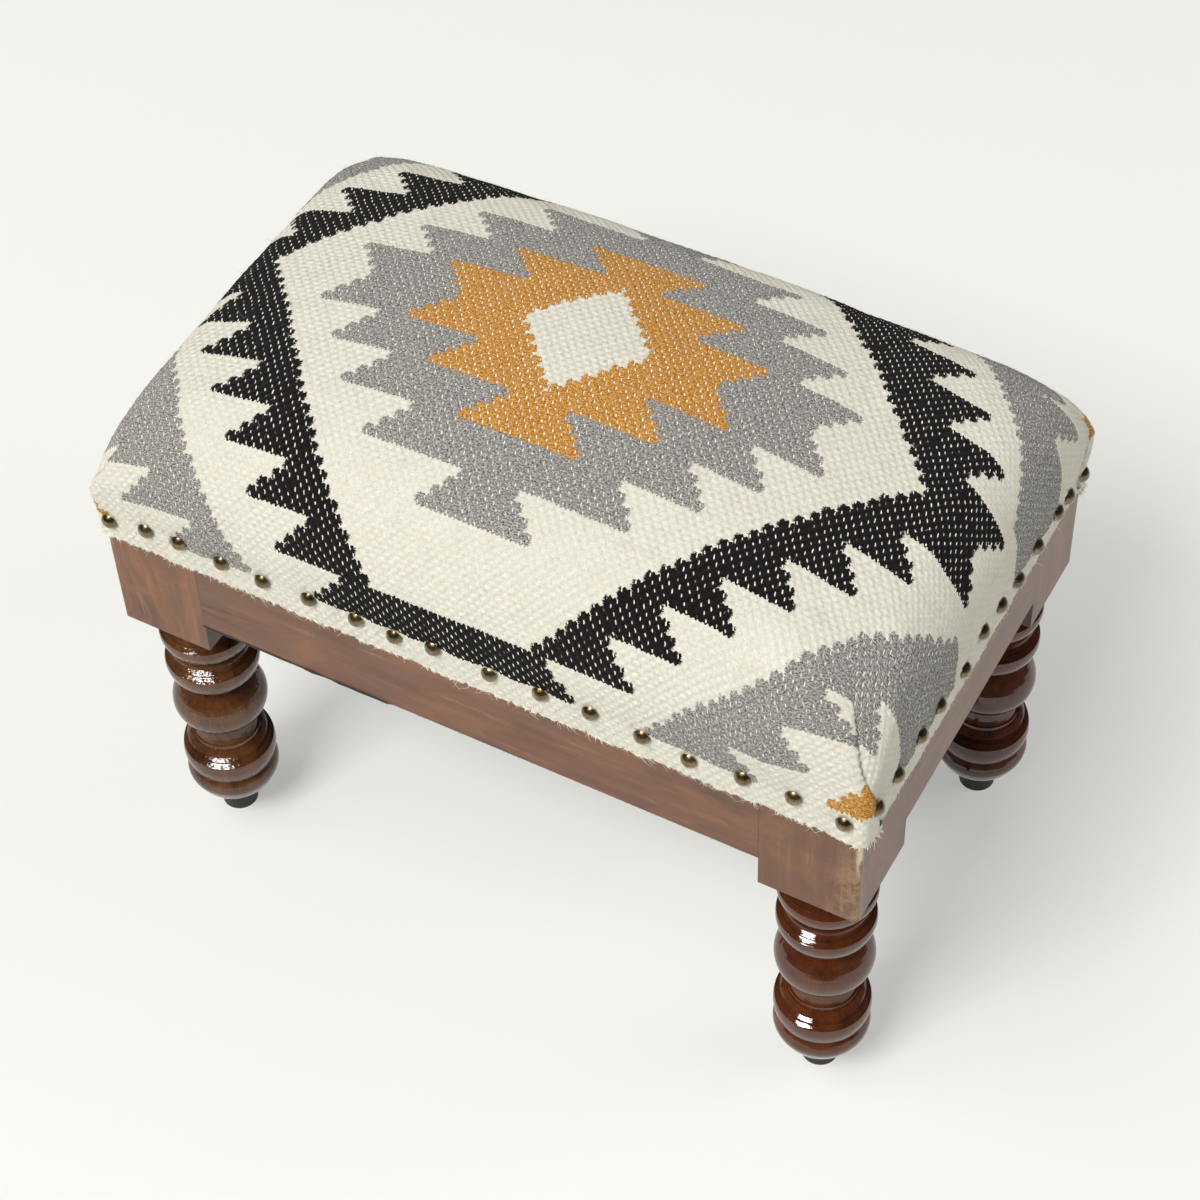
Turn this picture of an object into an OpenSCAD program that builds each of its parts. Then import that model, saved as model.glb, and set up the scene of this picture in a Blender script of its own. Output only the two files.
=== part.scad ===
// A small footstool: four turned legs screwed into a doweled box frame,
// with a crowned cushion under a woven kilim cover that domed nails hold.
// X runs along the long side, the front faces -Y, and the feet stand on Z = 0.

/* [Frame] */
// Length of the frame, outside face to outside face
frame_l = 406; // [340:1:520]
// Width of the frame, outside face to outside face
frame_w = 250; // [220:1:340]
// Side of each square corner block
block_w = 51; // [48:1:60]
// How far a corner block reaches below the rails
block_drop = 19; // [8:1:30]
// Rounding of a block's upright outer edge
block_edge_r = 2; // [1:0.5:4]
// Height of the rails
rail_h = 68; // [62:1:90]
// Thickness of the rails
rail_t = 22; // [20:1:26]
// Thickness of the plywood deck
deck_t = 6; // [5:0.5:12]

/* [Turned legs] */
// Distance of a leg's axis in from the frame's outer faces
leg_inset = 27.5; // [25:0.5:30]
// Widest radius of the rolls
roll_r = 24.6; // [24:0.1:26]
// Radius at a roll's lower edge
roll_edge_r = 23.3; // [22.5:0.1:23.8]
// Radius where the lower roll steps in to the upper one
roll_step_r = 22.9; // [22.5:0.1:23.2]
// Radius at the foot of an upper roll
upper_roll_r = 22.1; // [21:0.1:22.4]
// Radius at the top of an upper roll
roll_top_r = 18.6; // [17.5:0.1:20]
// How far an upper roll swells
upper_roll_swell = 1; // [0.5:0.1:1.5]
// Radius of the collar beside each neck
collar_r = 18.1; // [17:0.1:19]
// Height of each collar
collar_h = 3; // [2:0.5:4]
// Radius of the necks where they meet the ball
neck_r = 15.4; // [13:0.1:16.5]
// Radius of the necks where they meet the collars
neck_end_r = 17; // [16:0.1:17.5]
// How far the necks are hollowed
neck_hollow = 1.3; // [0.5:0.1:2]
// Radius of the waists above and below the top rolls
waist_r = 19.3; // [17:0.1:21]
// Radius of the ball
ball_r = 24.9; // [22:0.1:26]
// Height of the ball between its necks
ball_h = 31; // [26:0.5:34]
// Height of the neck below the ball
low_neck_h = 9.5; // [6:0.5:14]
// Height of the neck above the ball
high_neck_h = 7; // [5:0.5:12]
// Radius at the bottom end of the bowl
bowl_end_r = 11; // [10.5:0.1:14]
// Widest radius of the bowl
bowl_r = 24.2; // [22:0.1:25]
// Height of the bowl up to its widest place
bowl_h = 18.5; // [14:0.5:26]
// How far the bowl's side swells past a straight cone
bowl_swell = 2; // [0:0.1:3]
// Height of the bowl's rounded upper edge
bowl_edge_h = 9; // [6:0.5:12]
// Radius of the groove above the bowl
groove_r = 21.5; // [19:0.1:22]
// Height of the groove above the bowl
groove_h = 1.5; // [1:0.1:3]
// Height of the lowest pair's lower roll
base_roll_h = 15.5; // [12:0.5:18]
// Height of the lowest pair's upper roll
base_upper_h = 5.5; // [4:0.5:9]
// Height of the middle pair's lower roll
mid_roll_h = 13; // [10:0.5:16]
// Height of the middle pair's upper roll
mid_upper_h = 8; // [5:0.5:10]
// Height of the waist between the middle and the top rolls
waist_h = 3; // [2:0.5:5]
// Height of the top pair's lower roll
top_roll_h = 12; // [10:0.5:16]
// Height of the top pair's upper roll
top_upper_h = 8; // [5:0.5:10]
// Height of the plain neck under the block
top_neck_h = 5.7; // [4:0.1:8]

/* [Feet] */
// Radius of the rubber feet
foot_r = 9.5; // [8.5:0.1:10.5]
// Height of the rubber feet
foot_h = 12.5; // [11:0.5:16]

/* [Cushion] */
// Thickness of the woven cover
cover_t = 2.6; // [2:0.1:4]
// Thickness of the wadding under the cover
wadding_t = 6; // [4:0.5:10]
// Height of the cushion's rounded shoulder above the deck
shoulder_h = 45.6; // [36:0.1:60]
// Reach of the shoulder in from the two ends
shoulder_l = 26; // [20:0.5:40]
// Reach of the shoulder in from the two long sides
shoulder_w = 40; // [25:0.5:55]
// Plan radius of the cushion's corners at the top of the shoulder
shoulder_corner_r = 42; // [25:0.5:50]
// Rise of the crown above the shoulder
crown_h = 29.4; // [10:0.1:40]
// How far the cover hangs down over the frame
skirt_h = 23; // [21:0.5:30]

/* [Upholstery nails] */
// Radius of a nail's domed head
nail_head_r = 4.3; // [3.5:0.1:4.6]
// Height of the dome
nail_head_h = 3; // [2:0.1:3.5]
// Radius of a nail's pin
nail_pin_r = 0.65; // [0.5:0.05:0.8]
// Length of the pin below the head
nail_pin_l = 12; // [8:0.5:13]
// Distance of the nail row below the top of the frame
nail_drop = 8.5; // [6:0.5:9]

/* [Joinery and hardware] */
// Radius of the dowels
dowel_r = 4; // [3:0.5:4.5]
// Length of the dowels
dowel_l = 40; // [30:1:44]
// Height of the lower dowels above the rail's lower edge
dowel_low = 16; // [10:1:20]
// Distance of the upper dowels below the frame's top
dowel_high = 22; // [20:1:26]
// Radius of the hanger bolts
bolt_r = 4; // [3:0.5:4]
// Length of a hanger bolt in the leg
bolt_in_leg = 35; // [25:1:45]
// Length of a hanger bolt in the block
bolt_in_block = 18; // [14:1:19]
// Outer radius of the threaded inserts
insert_r = 6; // [5.5:0.1:7]
// Length of the threaded inserts under their flange
insert_l = 20; // [19:1:24]
// Radius of the inserts' flange
insert_flange_r = 8; // [7.5:0.1:9]
// Thickness of the inserts' flange
insert_flange_t = 1.5; // [1:0.1:2.5]
// Radius of the deck screws' shank
screw_r = 1.75; // [1.5:0.05:2]
// Radius of the deck screws' countersunk head
screw_head_r = 3.6; // [3.2:0.1:4]
// Height of the deck screws' head
screw_head_h = 2.4; // [2:0.1:3]
// Length of the deck screws
screw_l = 25; // [18:1:30]
// Distance of the deck screws in from the frame's outer faces on the rails
screw_inset = 14.5; // [13:0.5:15]
// Radius of the foot screws' shank
foot_screw_r = 1.75; // [1.5:0.05:2]
// Radius of the foot screws' pan head
foot_screw_head_r = 3.8; // [3.2:0.1:4.2]
// Height of the foot screws' pan head
foot_screw_head_h = 2.6; // [2:0.1:3]
// Length of the foot screws under the head
foot_screw_l = 22; // [18:1:26]
// Depth of the recess for the screw head in a foot
foot_recess = 6; // [4:0.5:7]

/* [Dust cover] */
// Thickness of the dust cover cloth
dust_t = 0.6; // [0.4:0.1:1]
// Distance of the dust cover's edge in from the frame's outer faces
dust_margin = 2; // [1:0.5:5]
// Length of a staple's crown
staple_l = 10; // [8:0.5:12]
// Width of a staple's crown
staple_w = 1; // [0.9:0.1:1.4]
// Thickness of a staple's crown
staple_t = 0.6; // [0.5:0.1:0.8]
// Length of a staple's legs
staple_leg_l = 8; // [6:0.5:9]

/* [Fits] */
// Clearance round dowels, bolts, screws and inserts in their holes
fit = 0.05; // [0.02:0.01:0.1]
// Clearance between the cover and the frame, and between the cushion's layers
layer_gap = 0.3; // [0.2:0.05:0.5]
// Depth left free at the end of a dowel or bolt hole
end_gap = 1; // [0.5:0.1:2]
// Clearance between the dust cover and the corner blocks
dust_gap = 0.5; // [0.3:0.1:2]

/* [Hidden] */
$fn = 64;

// Levels of the stool, from the floor up
leg_h = bowl_h + bowl_edge_h + groove_h
    + base_roll_h + base_upper_h + collar_h + low_neck_h
    + ball_h + high_neck_h + collar_h
    + mid_roll_h + mid_upper_h + waist_h
    + top_roll_h + top_upper_h + top_neck_h;
block_bottom = foot_h + leg_h;
rail_bottom = block_bottom + block_drop;
frame_top = rail_bottom + rail_h;
deck_top = frame_top + deck_t;
skirt_bottom = frame_top - skirt_h;
nail_row_z = frame_top - nail_drop;

// Half sizes and places in plan
half_l = frame_l / 2;
half_w = frame_w / 2;
leg_x = half_l - leg_inset;
leg_y = half_w - leg_inset;
block_x = half_l - block_w / 2;
block_y = half_w - block_w / 2;
rail_x = half_l - rail_t / 2;
rail_y = half_w - rail_t / 2;
long_rail_l = frame_l - 2 * block_w;
short_rail_l = frame_w - 2 * block_w;
cut = 1;

// Half sizes and corner radius of the cover's outer wall
cover_half_l = half_l + layer_gap + cover_t;
cover_half_w = half_w + layer_gap + cover_t;
cover_corner_r = block_edge_r + layer_gap + cover_t;
least_corner_r = 0.5;

// Depth of each cushion layer under the cover's outer face
cover_in = cover_t;
wadding_out = cover_in + layer_gap;
wadding_in = wadding_out + wadding_t;
foam_out = wadding_in + layer_gap;

// Steps of the cushion's mesh: round each corner, along the sides, up the
// shoulder, and the sizes of the rings on its top
corner_steps = 5;
long_steps = 8;
short_steps = 5;
shoulder_steps = 6;
top_ring_shares = [0.8, 0.6, 0.4, 0.2];

// Places of the nails along the front, as shares of the frame's length, and
// how far each sits off the row, as shares of a head's width. They are set by
// eye and by hand, so neither is even.
front_nail_shares = [
    [-0.485, -0.27], [-0.431, 0.2], [-0.384, 0.3], [-0.325, 0.08],
    [-0.268, -0.03], [-0.204, 0.08], [-0.14, -0.03], [-0.089, -0.15],
    [-0.037, 0.2], [0.037, -0.03], [0.103, 0.08], [0.167, 0.2],
    [0.232, -0.03], [0.291, -0.38], [0.357, -0.03], [0.419, 0.08],
    [0.48, -0.38]
];
// The same for the nails along the right end, as shares of the frame's width
side_nail_shares = [
    [-0.464, 0.15], [-0.38, 0.08], [-0.28, 0.08], [-0.2, -0.03],
    [-0.088, -0.6], [-0.008, 0.08], [0.076, -0.27], [0.16, -0.7],
    [0.248, -0.5], [0.345, -0.5], [0.4, -0.7], [0.472, -0.9]
];
// Places of the staples along the long and the short rails
long_staple_shares = [-0.3, -0.15, 0, 0.15, 0.3];
short_staple_shares = [-0.2, 0, 0.2];
// Places of the deck screws along the long rails
deck_screw_shares = [-0.2, 0.2];

WOOD = [0.45, 0.33, 0.26];
LACQUER = [0.3, 0.14, 0.08];
STEEL = [0.7, 0.7, 0.72];
BRASS = [0.5, 0.42, 0.22];

// Moves a piece drawn for the +X +Y corner to another corner
module at_corner(sx, sy) mirror([sx < 0 ? 1 : 0, 0, 0]) mirror([0, sy < 0 ? 1 : 0, 0]) children();

module every_corner() {
    for (sx = [-1, 1])
        for (sy = [-1, 1])
            at_corner(sx, sy) children();
}

// Nails

// One nail: the dome of a sphere on a pin that points along -Z
module nail() {
    dome_r = (pow(nail_head_r, 2) + pow(nail_head_h, 2)) / (2 * nail_head_h);
    intersection() {
        translate([0, 0, nail_head_h - dome_r]) sphere(dome_r);
        cylinder(r = nail_head_r + cut, h = nail_head_h + cut);
    }
    translate([0, 0, -nail_pin_l]) cylinder(r = nail_pin_r, h = nail_pin_l);
}

// Puts its child, drawn along +Z, at each nail of one side, facing outwards
module nail_row(shares, run, reach, turn, flip = 1) {
    rotate([0, 0, turn])
        for (p = shares)
            translate([flip * p[0] * run, -reach, nail_row_z + p[1] * 2 * nail_head_r])
                rotate([90, 0, 0]) children();
}
module front_nails() nail_row(front_nail_shares, frame_l, cover_half_w, 0) children();
module back_nails() nail_row(front_nail_shares, frame_l, cover_half_w, 180) children();
module right_nails() nail_row(side_nail_shares, frame_w, cover_half_l, 90) children();
module left_nails() nail_row(side_nail_shares, frame_w, cover_half_l, 270) children();

pin_hole_l = nail_pin_l + end_gap;
module pin_hole() translate([0, 0, -pin_hole_l]) cylinder(r = nail_pin_r + fit, h = pin_hole_l + cut);

module all_pin_holes() {
    front_nails() pin_hole();
    back_nails() pin_hole();
    right_nails() pin_hole();
    left_nails() pin_hole();
}

module nails_front() color(BRASS) front_nails() nail();
module nails_back() color(BRASS) back_nails() nail();
module nails_left() color(BRASS) left_nails() nail();
module nails_right() color(BRASS) right_nails() nail();

// Frame

// A rod along X, centred on the joint between block and rail
module dowel_rod(r, l) translate([-l / 2, 0, 0]) rotate([0, 90, 0]) cylinder(r = r, h = l);

// The two joints at the +X +Y corner, each with a lower and an upper dowel
module corner_dowels(r, l) {
    for (z = [rail_bottom + dowel_low, frame_top - dowel_high]) {
        translate([half_l - block_w, rail_y, z]) dowel_rod(r, l);
        translate([rail_x, half_w - block_w, z]) rotate([0, 0, 90]) dowel_rod(r, l);
    }
}
module dowel_holes() every_corner() corner_dowels(dowel_r + fit, dowel_l + 2 * end_gap);

module rail_dowels() color("burlywood") every_corner() corner_dowels(dowel_r, dowel_l);

// Plan of a block: a square whose outer corner is rounded
module block_plan() {
    square([block_w - block_edge_r, block_w]);
    square([block_w, block_w - block_edge_r]);
    translate([block_w - block_edge_r, block_w - block_edge_r]) circle(block_edge_r);
}

module corner_block(sx, sy) {
    color(WOOD) difference() {
        at_corner(sx, sy)
            translate([half_l - block_w, half_w - block_w, block_bottom])
                linear_extrude(frame_top - block_bottom) block_plan();
        at_corner(sx, sy) corner_dowels(dowel_r + fit, dowel_l + 2 * end_gap);
        at_corner(sx, sy) insert_hole();
        at_corner(sx, sy) translate([block_x, block_y, 0]) screw_hole();
        all_pin_holes();
    }
}
module corner_block_front_left() corner_block(-1, -1);
module corner_block_front_right() corner_block(1, -1);
module corner_block_back_left() corner_block(-1, 1);
module corner_block_back_right() corner_block(1, 1);

module long_rail(sy) {
    color(WOOD) difference() {
        translate([-long_rail_l / 2, sy * rail_y - rail_t / 2, rail_bottom])
            cube([long_rail_l, rail_t, rail_h]);
        dowel_holes();
        rail_screws() screw_hole();
        all_staples() staple_holes();
        all_pin_holes();
    }
}
module short_rail(sx) {
    color(WOOD) difference() {
        translate([sx * rail_x - rail_t / 2, -short_rail_l / 2, rail_bottom])
            cube([rail_t, short_rail_l, rail_h]);
        dowel_holes();
        rail_screws() screw_hole();
        all_staples() staple_holes();
        all_pin_holes();
    }
}
module rail_front() long_rail(-1);
module rail_back() long_rail(1);
module rail_left() short_rail(-1);
module rail_right() short_rail(1);

// Deck

// Puts its child over each screw that goes into a rail
module rail_screws() {
    for (s = deck_screw_shares)
        for (sy = [-1, 1])
            translate([s * frame_l, sy * (half_w - screw_inset), 0]) children();
    for (sx = [-1, 1])
        translate([sx * (half_l - screw_inset), 0, 0]) children();
}
// One more screw goes into each block
module all_screws() {
    rail_screws() children();
    every_corner() translate([block_x, block_y, 0]) children();
}
// A countersunk screw, its head flush with the deck's top; grow widens it into its hole
module deck_screw(grow = 0) {
    translate([0, 0, deck_top - screw_l - grow]) cylinder(r = screw_r + grow, h = screw_l + grow);
    translate([0, 0, deck_top - screw_head_h])
        cylinder(r1 = screw_r + grow, r2 = screw_head_r + grow, h = screw_head_h);
}
module screw_hole() deck_screw(fit);
module deck_screws() color(STEEL) all_screws() deck_screw();

// What is trimmed off the deck's corners to round them like the blocks
module corner_trim() {
    translate([half_l - block_edge_r, half_w - block_edge_r]) difference() {
        square(block_edge_r + cut);
        circle(block_edge_r);
    }
}
module seat_deck() {
    color("tan") difference() {
        translate([-half_l, -half_w, frame_top]) cube([frame_l, frame_w, deck_t]);
        every_corner() translate([0, 0, frame_top - cut]) linear_extrude(deck_t + 2 * cut) corner_trim();
        all_screws() screw_hole();
    }
}

// Legs

// Points up one stretch of the turning, from radius ra to radius rb, swelled
// outwards by a height of out, or hollowed where out is negative
swell_steps = 8;
function swell(z, h, ra, rb, out) = [
    for (i = [0:swell_steps])
        let (s = i / swell_steps)
            [ra + (rb - ra) * s + out * sin(180 * s), z + h * s]
];
// Points up a lower roll and the upper roll that is stepped in above it
roll_swell = roll_r - (roll_edge_r + roll_step_r) / 2;
function roll_pair(z, low_h, up_h) = concat(
    swell(z, low_h, roll_edge_r, roll_step_r, roll_swell),
    swell(z + low_h, up_h, upper_roll_r, roll_top_r, upper_roll_swell)
);
// Points up the ball, which meets its necks at the neck radius
ball_steps = 20;
ball_turn = acos(neck_r / ball_r);
function ball(z) = [
    for (i = [0:ball_steps])
        let (a = ball_turn * (2 * i / ball_steps - 1))
            [ball_r * cos(a), z + ball_h / 2 * (1 + sin(a) / sin(ball_turn))]
];

groove_z = bowl_h + bowl_edge_h;
base_roll_z = groove_z + groove_h;
low_collar_z = base_roll_z + base_roll_h + base_upper_h;
low_neck_z = low_collar_z + collar_h;
ball_z = low_neck_z + low_neck_h;
high_neck_z = ball_z + ball_h;
high_collar_z = high_neck_z + high_neck_h;
mid_roll_z = high_collar_z + collar_h;
waist_z = mid_roll_z + mid_roll_h + mid_upper_h;
top_roll_z = waist_z + waist_h;
top_neck_z = top_roll_z + top_roll_h + top_upper_h;

leg_profile = concat(
    [[0, 0]],
    swell(0, bowl_h, bowl_end_r, bowl_r, bowl_swell),
    swell(bowl_h, bowl_edge_h, bowl_r, groove_r, (bowl_r - groove_r) / 2),
    [[groove_r, base_roll_z]],
    roll_pair(base_roll_z, base_roll_h, base_upper_h),
    [[collar_r, low_collar_z], [collar_r, low_neck_z]],
    swell(low_neck_z, low_neck_h, neck_end_r, neck_r, -neck_hollow),
    ball(ball_z),
    swell(high_neck_z, high_neck_h, neck_r, neck_end_r, -neck_hollow),
    [[collar_r, high_collar_z], [collar_r, mid_roll_z]],
    roll_pair(mid_roll_z, mid_roll_h, mid_upper_h),
    [[waist_r, waist_z], [waist_r, top_roll_z]],
    roll_pair(top_roll_z, top_roll_h, top_upper_h),
    [[waist_r, top_neck_z], [waist_r, leg_h], [0, leg_h]]
);

module leg(sx, sy) {
    color(LACQUER) translate([sx * leg_x, sy * leg_y, foot_h]) difference() {
        rotate_extrude() polygon(leg_profile);
        translate([0, 0, leg_h - bolt_in_leg - end_gap])
            cylinder(r = bolt_r + fit, h = bolt_in_leg + end_gap + cut);
        translate([0, 0, -cut]) cylinder(r = foot_screw_r + fit, h = foot_screw_depth + end_gap + cut);
    }
}
module leg_front_left() leg(-1, -1);
module leg_front_right() leg(1, -1);
module leg_back_left() leg(-1, 1);
module leg_back_right() leg(1, 1);

// The bolt that joins a leg to its block, and the insert that takes it
module hanger_bolts() {
    color(STEEL) every_corner()
        translate([leg_x, leg_y, block_bottom - bolt_in_leg])
            cylinder(r = bolt_r, h = bolt_in_leg + bolt_in_block);
}
module threaded_inserts() {
    color(BRASS) every_corner() translate([leg_x, leg_y, block_bottom]) difference() {
        union() {
            cylinder(r = insert_flange_r, h = insert_flange_t);
            cylinder(r = insert_r, h = insert_flange_t + insert_l);
        }
        translate([0, 0, -cut]) cylinder(r = bolt_r + fit, h = insert_l + insert_flange_t + 2 * cut);
    }
}
module insert_hole() {
    translate([leg_x, leg_y, block_bottom - cut]) {
        cylinder(r = insert_flange_r + fit, h = insert_flange_t + cut);
        cylinder(r = insert_r + fit, h = insert_flange_t + insert_l + end_gap + cut);
    }
}

// Feet

foot_screw_depth = foot_screw_l - (foot_h - foot_recess);

module foot(sx, sy) {
    color([0.1, 0.1, 0.11]) translate([sx * leg_x, sy * leg_y, 0]) difference() {
        cylinder(r = foot_r, h = foot_h);
        translate([0, 0, -cut]) cylinder(r = foot_screw_head_r + layer_gap, h = foot_recess + cut);
        cylinder(r = foot_screw_r + fit, h = foot_h + cut);
    }
}
module foot_front_left() foot(-1, -1);
module foot_front_right() foot(1, -1);
module foot_back_left() foot(-1, 1);
module foot_back_right() foot(1, 1);

module foot_screws() {
    color(STEEL) every_corner() translate([leg_x, leg_y, foot_recess]) {
        translate([0, 0, -foot_screw_head_h]) cylinder(r = foot_screw_head_r, h = foot_screw_head_h);
        cylinder(r = foot_screw_r, h = foot_screw_l);
    }
}

// Cushion

// Corner q of four, anticlockwise from +X +Y: its signs along X and Y
function corner_sign(q) = [q == 0 || q == 3 ? 1 : -1, q < 2 ? 1 : -1];

// A rectangle of half sizes x and y with corners of radius r, anticlockwise
function outline(x, y, r) = [
    for (q = [0:3])
        let (
            s = corner_sign(q),
            t = corner_sign((q + 1) % 4),
            steps = q % 2 == 0 ? long_steps : short_steps,
            from = [s[0] * (x - r), s[1] * (y - r)] + r * [cos(90 * q + 90), sin(90 * q + 90)],
            to = [t[0] * (x - r), t[1] * (y - r)] + r * [cos(90 * q + 90), sin(90 * q + 90)]
        )
            each concat(
                [
                    for (i = [0:corner_steps])
                        let (a = 90 * (q + i / corner_steps))
                            [s[0] * (x - r) + r * cos(a), s[1] * (y - r) + r * sin(a)]
                ],
                [for (i = [1:steps - 1]) from + (to - from) * i / steps]
            )
];
ring_n = 4 * (corner_steps + 1) + 2 * (long_steps - 1) + 2 * (short_steps - 1);

// Rise of the crown over a place on the top, for a layer that lies in deep
function crown(p, deep) = crown_h
    * (1 - pow(p[0] / (cover_half_l - deep), 2))
    * (1 - pow(p[1] / (cover_half_w - deep), 2));

// One ring of a layer's skin at the angle up the shoulder, shrunk to a
// share of its size on the top
function shoulder_plan(deep, up) = outline(
    cover_half_l - deep - (shoulder_l - deep) * (1 - cos(up)),
    cover_half_w - deep - (shoulder_w - deep) * (1 - cos(up)),
    max(cover_corner_r - deep, least_corner_r) + (shoulder_corner_r - cover_corner_r) * sin(up)
);
function ring(deep, up, share = 1) = [
    for (p = shoulder_plan(deep, up))
        let (q = p * share)
            [q[0], q[1], deck_top + (shoulder_h - deep + crown(q, deep)) * sin(up)]
];
// All points of a layer's skin: the rings from the deck up, then the peak
function skin(deep) = concat(
    [for (k = [0:shoulder_steps]) each ring(deep, 90 * k / shoulder_steps)],
    [for (s = top_ring_shares) each ring(deep, 90, s)],
    [[0, 0, deck_top + shoulder_h - deep + crown_h]]
);
ring_count = shoulder_steps + 1 + len(top_ring_shares);
peak = ring_count * ring_n;

// Triangles of that skin, seen from outside, for points that start at first
function skin_faces(first) = concat(
    [
        for (k = [0:ring_count - 2], i = [0:ring_n - 1])
            let (a = first + k * ring_n + i, b = first + k * ring_n + (i + 1) % ring_n)
                each [[a, a + ring_n, b], [b, a + ring_n, b + ring_n]]
    ],
    [
        for (i = [0:ring_n - 1])
            let (a = first + (ring_count - 1) * ring_n)
                [a + i, first + peak, a + (i + 1) % ring_n]
    ]
);
function turned(faces) = [for (f = faces) [f[2], f[1], f[0]]];

// A domed shell between two depths, open at the deck
module dome_shell(outer, inner) {
    inside = peak + 1;
    rim = [
        for (i = [0:ring_n - 1])
            let (j = (i + 1) % ring_n)
                each [[i, j, inside + i], [j, inside + j, inside + i]]
    ];
    polyhedron(
        points = concat(skin(outer), skin(inner)),
        faces = concat(skin_faces(0), turned(skin_faces(inside)), rim)
    );
}

// A solid dome that stands on the deck
module dome(outer) {
    base = peak + 1;
    polyhedron(
        points = concat(skin(outer), [[0, 0, deck_top]]),
        faces = concat(skin_faces(0), [for (i = [0:ring_n - 1]) [i, (i + 1) % ring_n, base]])
    );
}

module foam_pad() color("khaki") dome(foam_out);
module wadding() color("whitesmoke") dome_shell(wadding_out, wadding_in);

// The cover: a domed shell over the cushion and a straight skirt over the frame
module kilim_cover() {
    color("ivory") union() {
        dome_shell(0, cover_in);
        difference() {
            translate([0, 0, skirt_bottom]) linear_extrude(deck_top - skirt_bottom) difference() {
                polygon(shoulder_plan(0, 0));
                polygon(shoulder_plan(cover_in, 0));
            }
            all_pin_holes();
        }
    }
}

// Dust cover

module dust_plan() {
    square([frame_l - 2 * dust_margin, short_rail_l - 2 * dust_gap], center = true);
    square([long_rail_l - 2 * dust_gap, frame_w - 2 * dust_margin], center = true);
}
// Puts its child, drawn along X, at each staple
module all_staples() {
    for (s = long_staple_shares)
        for (sy = [-1, 1])
            translate([s * frame_l, sy * rail_y, rail_bottom - dust_t]) children();
    for (s = short_staple_shares)
        for (sx = [-1, 1])
            translate([sx * rail_x, s * frame_w, rail_bottom - dust_t]) rotate([0, 0, 90]) children();
}
// A staple's leg is a round wire, as thick as its crown
module staple_legs(grow) {
    for (s = [-1, 1])
        translate([s * (staple_l - staple_w) / 2, 0, 0])
            cylinder(r = staple_t / 2 + grow, h = staple_leg_l + grow);
}
module staple() {
    staple_legs(0);
    translate([-staple_l / 2, -staple_w / 2, -staple_t]) cube([staple_l, staple_w, staple_t]);
}
module staple_holes() translate([0, 0, -fit]) staple_legs(fit);

module dust_cover() {
    color([0.12, 0.12, 0.13]) difference() {
        translate([0, 0, rail_bottom - dust_t]) linear_extrude(dust_t) dust_plan();
        all_staples() staple_holes();
    }
}
module dust_cover_staples() color(STEEL) all_staples() staple();

corner_block_front_left();
corner_block_front_right();
corner_block_back_left();
corner_block_back_right();
rail_front();
rail_back();
rail_left();
rail_right();
rail_dowels();
leg_front_left();
leg_front_right();
leg_back_left();
leg_back_right();
foot_front_left();
foot_front_right();
foot_back_left();
foot_back_right();
foot_screws();
hanger_bolts();
threaded_inserts();
seat_deck();
deck_screws();
foam_pad();
wadding();
kilim_cover();
nails_front();
nails_back();
nails_left();
nails_right();
dust_cover();
dust_cover_staples();
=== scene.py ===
"""Kilim footstool: the finish of every surface, the padded seat and its woven cover.

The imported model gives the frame, legs, feet, nails and hidden joinery. This script gives each of
them its material, and replaces the soft solids with a swollen pad, a woven cover that is folded at
its corners, its loose fibres, and the cloth under the frame.
"""
import bisect
import math
import random

import bmesh
import bpy
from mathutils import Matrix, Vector, noise
from mathutils.kdtree import KDTree


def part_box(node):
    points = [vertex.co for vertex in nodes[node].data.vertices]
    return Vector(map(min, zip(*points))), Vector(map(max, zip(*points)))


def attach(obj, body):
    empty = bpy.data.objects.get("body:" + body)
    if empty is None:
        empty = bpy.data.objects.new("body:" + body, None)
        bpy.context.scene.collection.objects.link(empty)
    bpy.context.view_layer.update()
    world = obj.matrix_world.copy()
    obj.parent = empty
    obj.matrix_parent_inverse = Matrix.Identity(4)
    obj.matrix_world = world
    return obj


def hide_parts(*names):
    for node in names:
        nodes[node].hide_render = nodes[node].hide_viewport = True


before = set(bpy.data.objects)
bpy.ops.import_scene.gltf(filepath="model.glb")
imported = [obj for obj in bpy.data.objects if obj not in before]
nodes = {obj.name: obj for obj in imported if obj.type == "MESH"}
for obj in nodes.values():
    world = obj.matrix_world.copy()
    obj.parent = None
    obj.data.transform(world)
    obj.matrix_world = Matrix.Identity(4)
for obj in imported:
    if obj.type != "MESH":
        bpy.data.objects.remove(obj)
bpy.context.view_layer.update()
bpy.ops.object.select_all(action="DESELECT")

MM = 0.001
random.seed(7)

# Frame, in millimetres
FRAME_HALF_L = 203.0
FRAME_HALF_W = 125.0
BLOCK_W = 51.0

# Seat, in millimetres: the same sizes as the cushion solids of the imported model
COVER_LOW, COVER_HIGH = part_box("kilim_cover")
HALF_L = COVER_HIGH.x / MM
HALF_W = COVER_HIGH.y / MM
SKIRT_Z = COVER_LOW.z / MM
TOP_Z = COVER_HIGH.z / MM
DECK_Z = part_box("seat_deck")[1].z / MM
CROWN_H = 29.4
SHOULDER_H = TOP_Z - DECK_Z - CROWN_H
SHOULDER_L = 26.0
SHOULDER_W = 40.0
HEM_CORNER_R = 4.9
SHOULDER_CORNER_R = 42.0
COVER_T = 2.6

# Weave, in millimetres and in stitches; a stitch is two warps wide and two wefts high
STITCH_L = 4.91
STITCH_W = 5.54
MOTIF_RIGHT = 0.99
MOTIF_BACK = -1.35
TIGHTER_AT_BACK = 1.9
WEFT_BOW = 1.5
BOW_REACH = 200.0
COURSE = 4


def smooth(low, high, value):
    """Eases from 0 at low to 1 at high."""
    share = min(max((value - low) / (high - low), 0.0), 1.0)
    return share * share * (3.0 - 2.0 * share)


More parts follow.
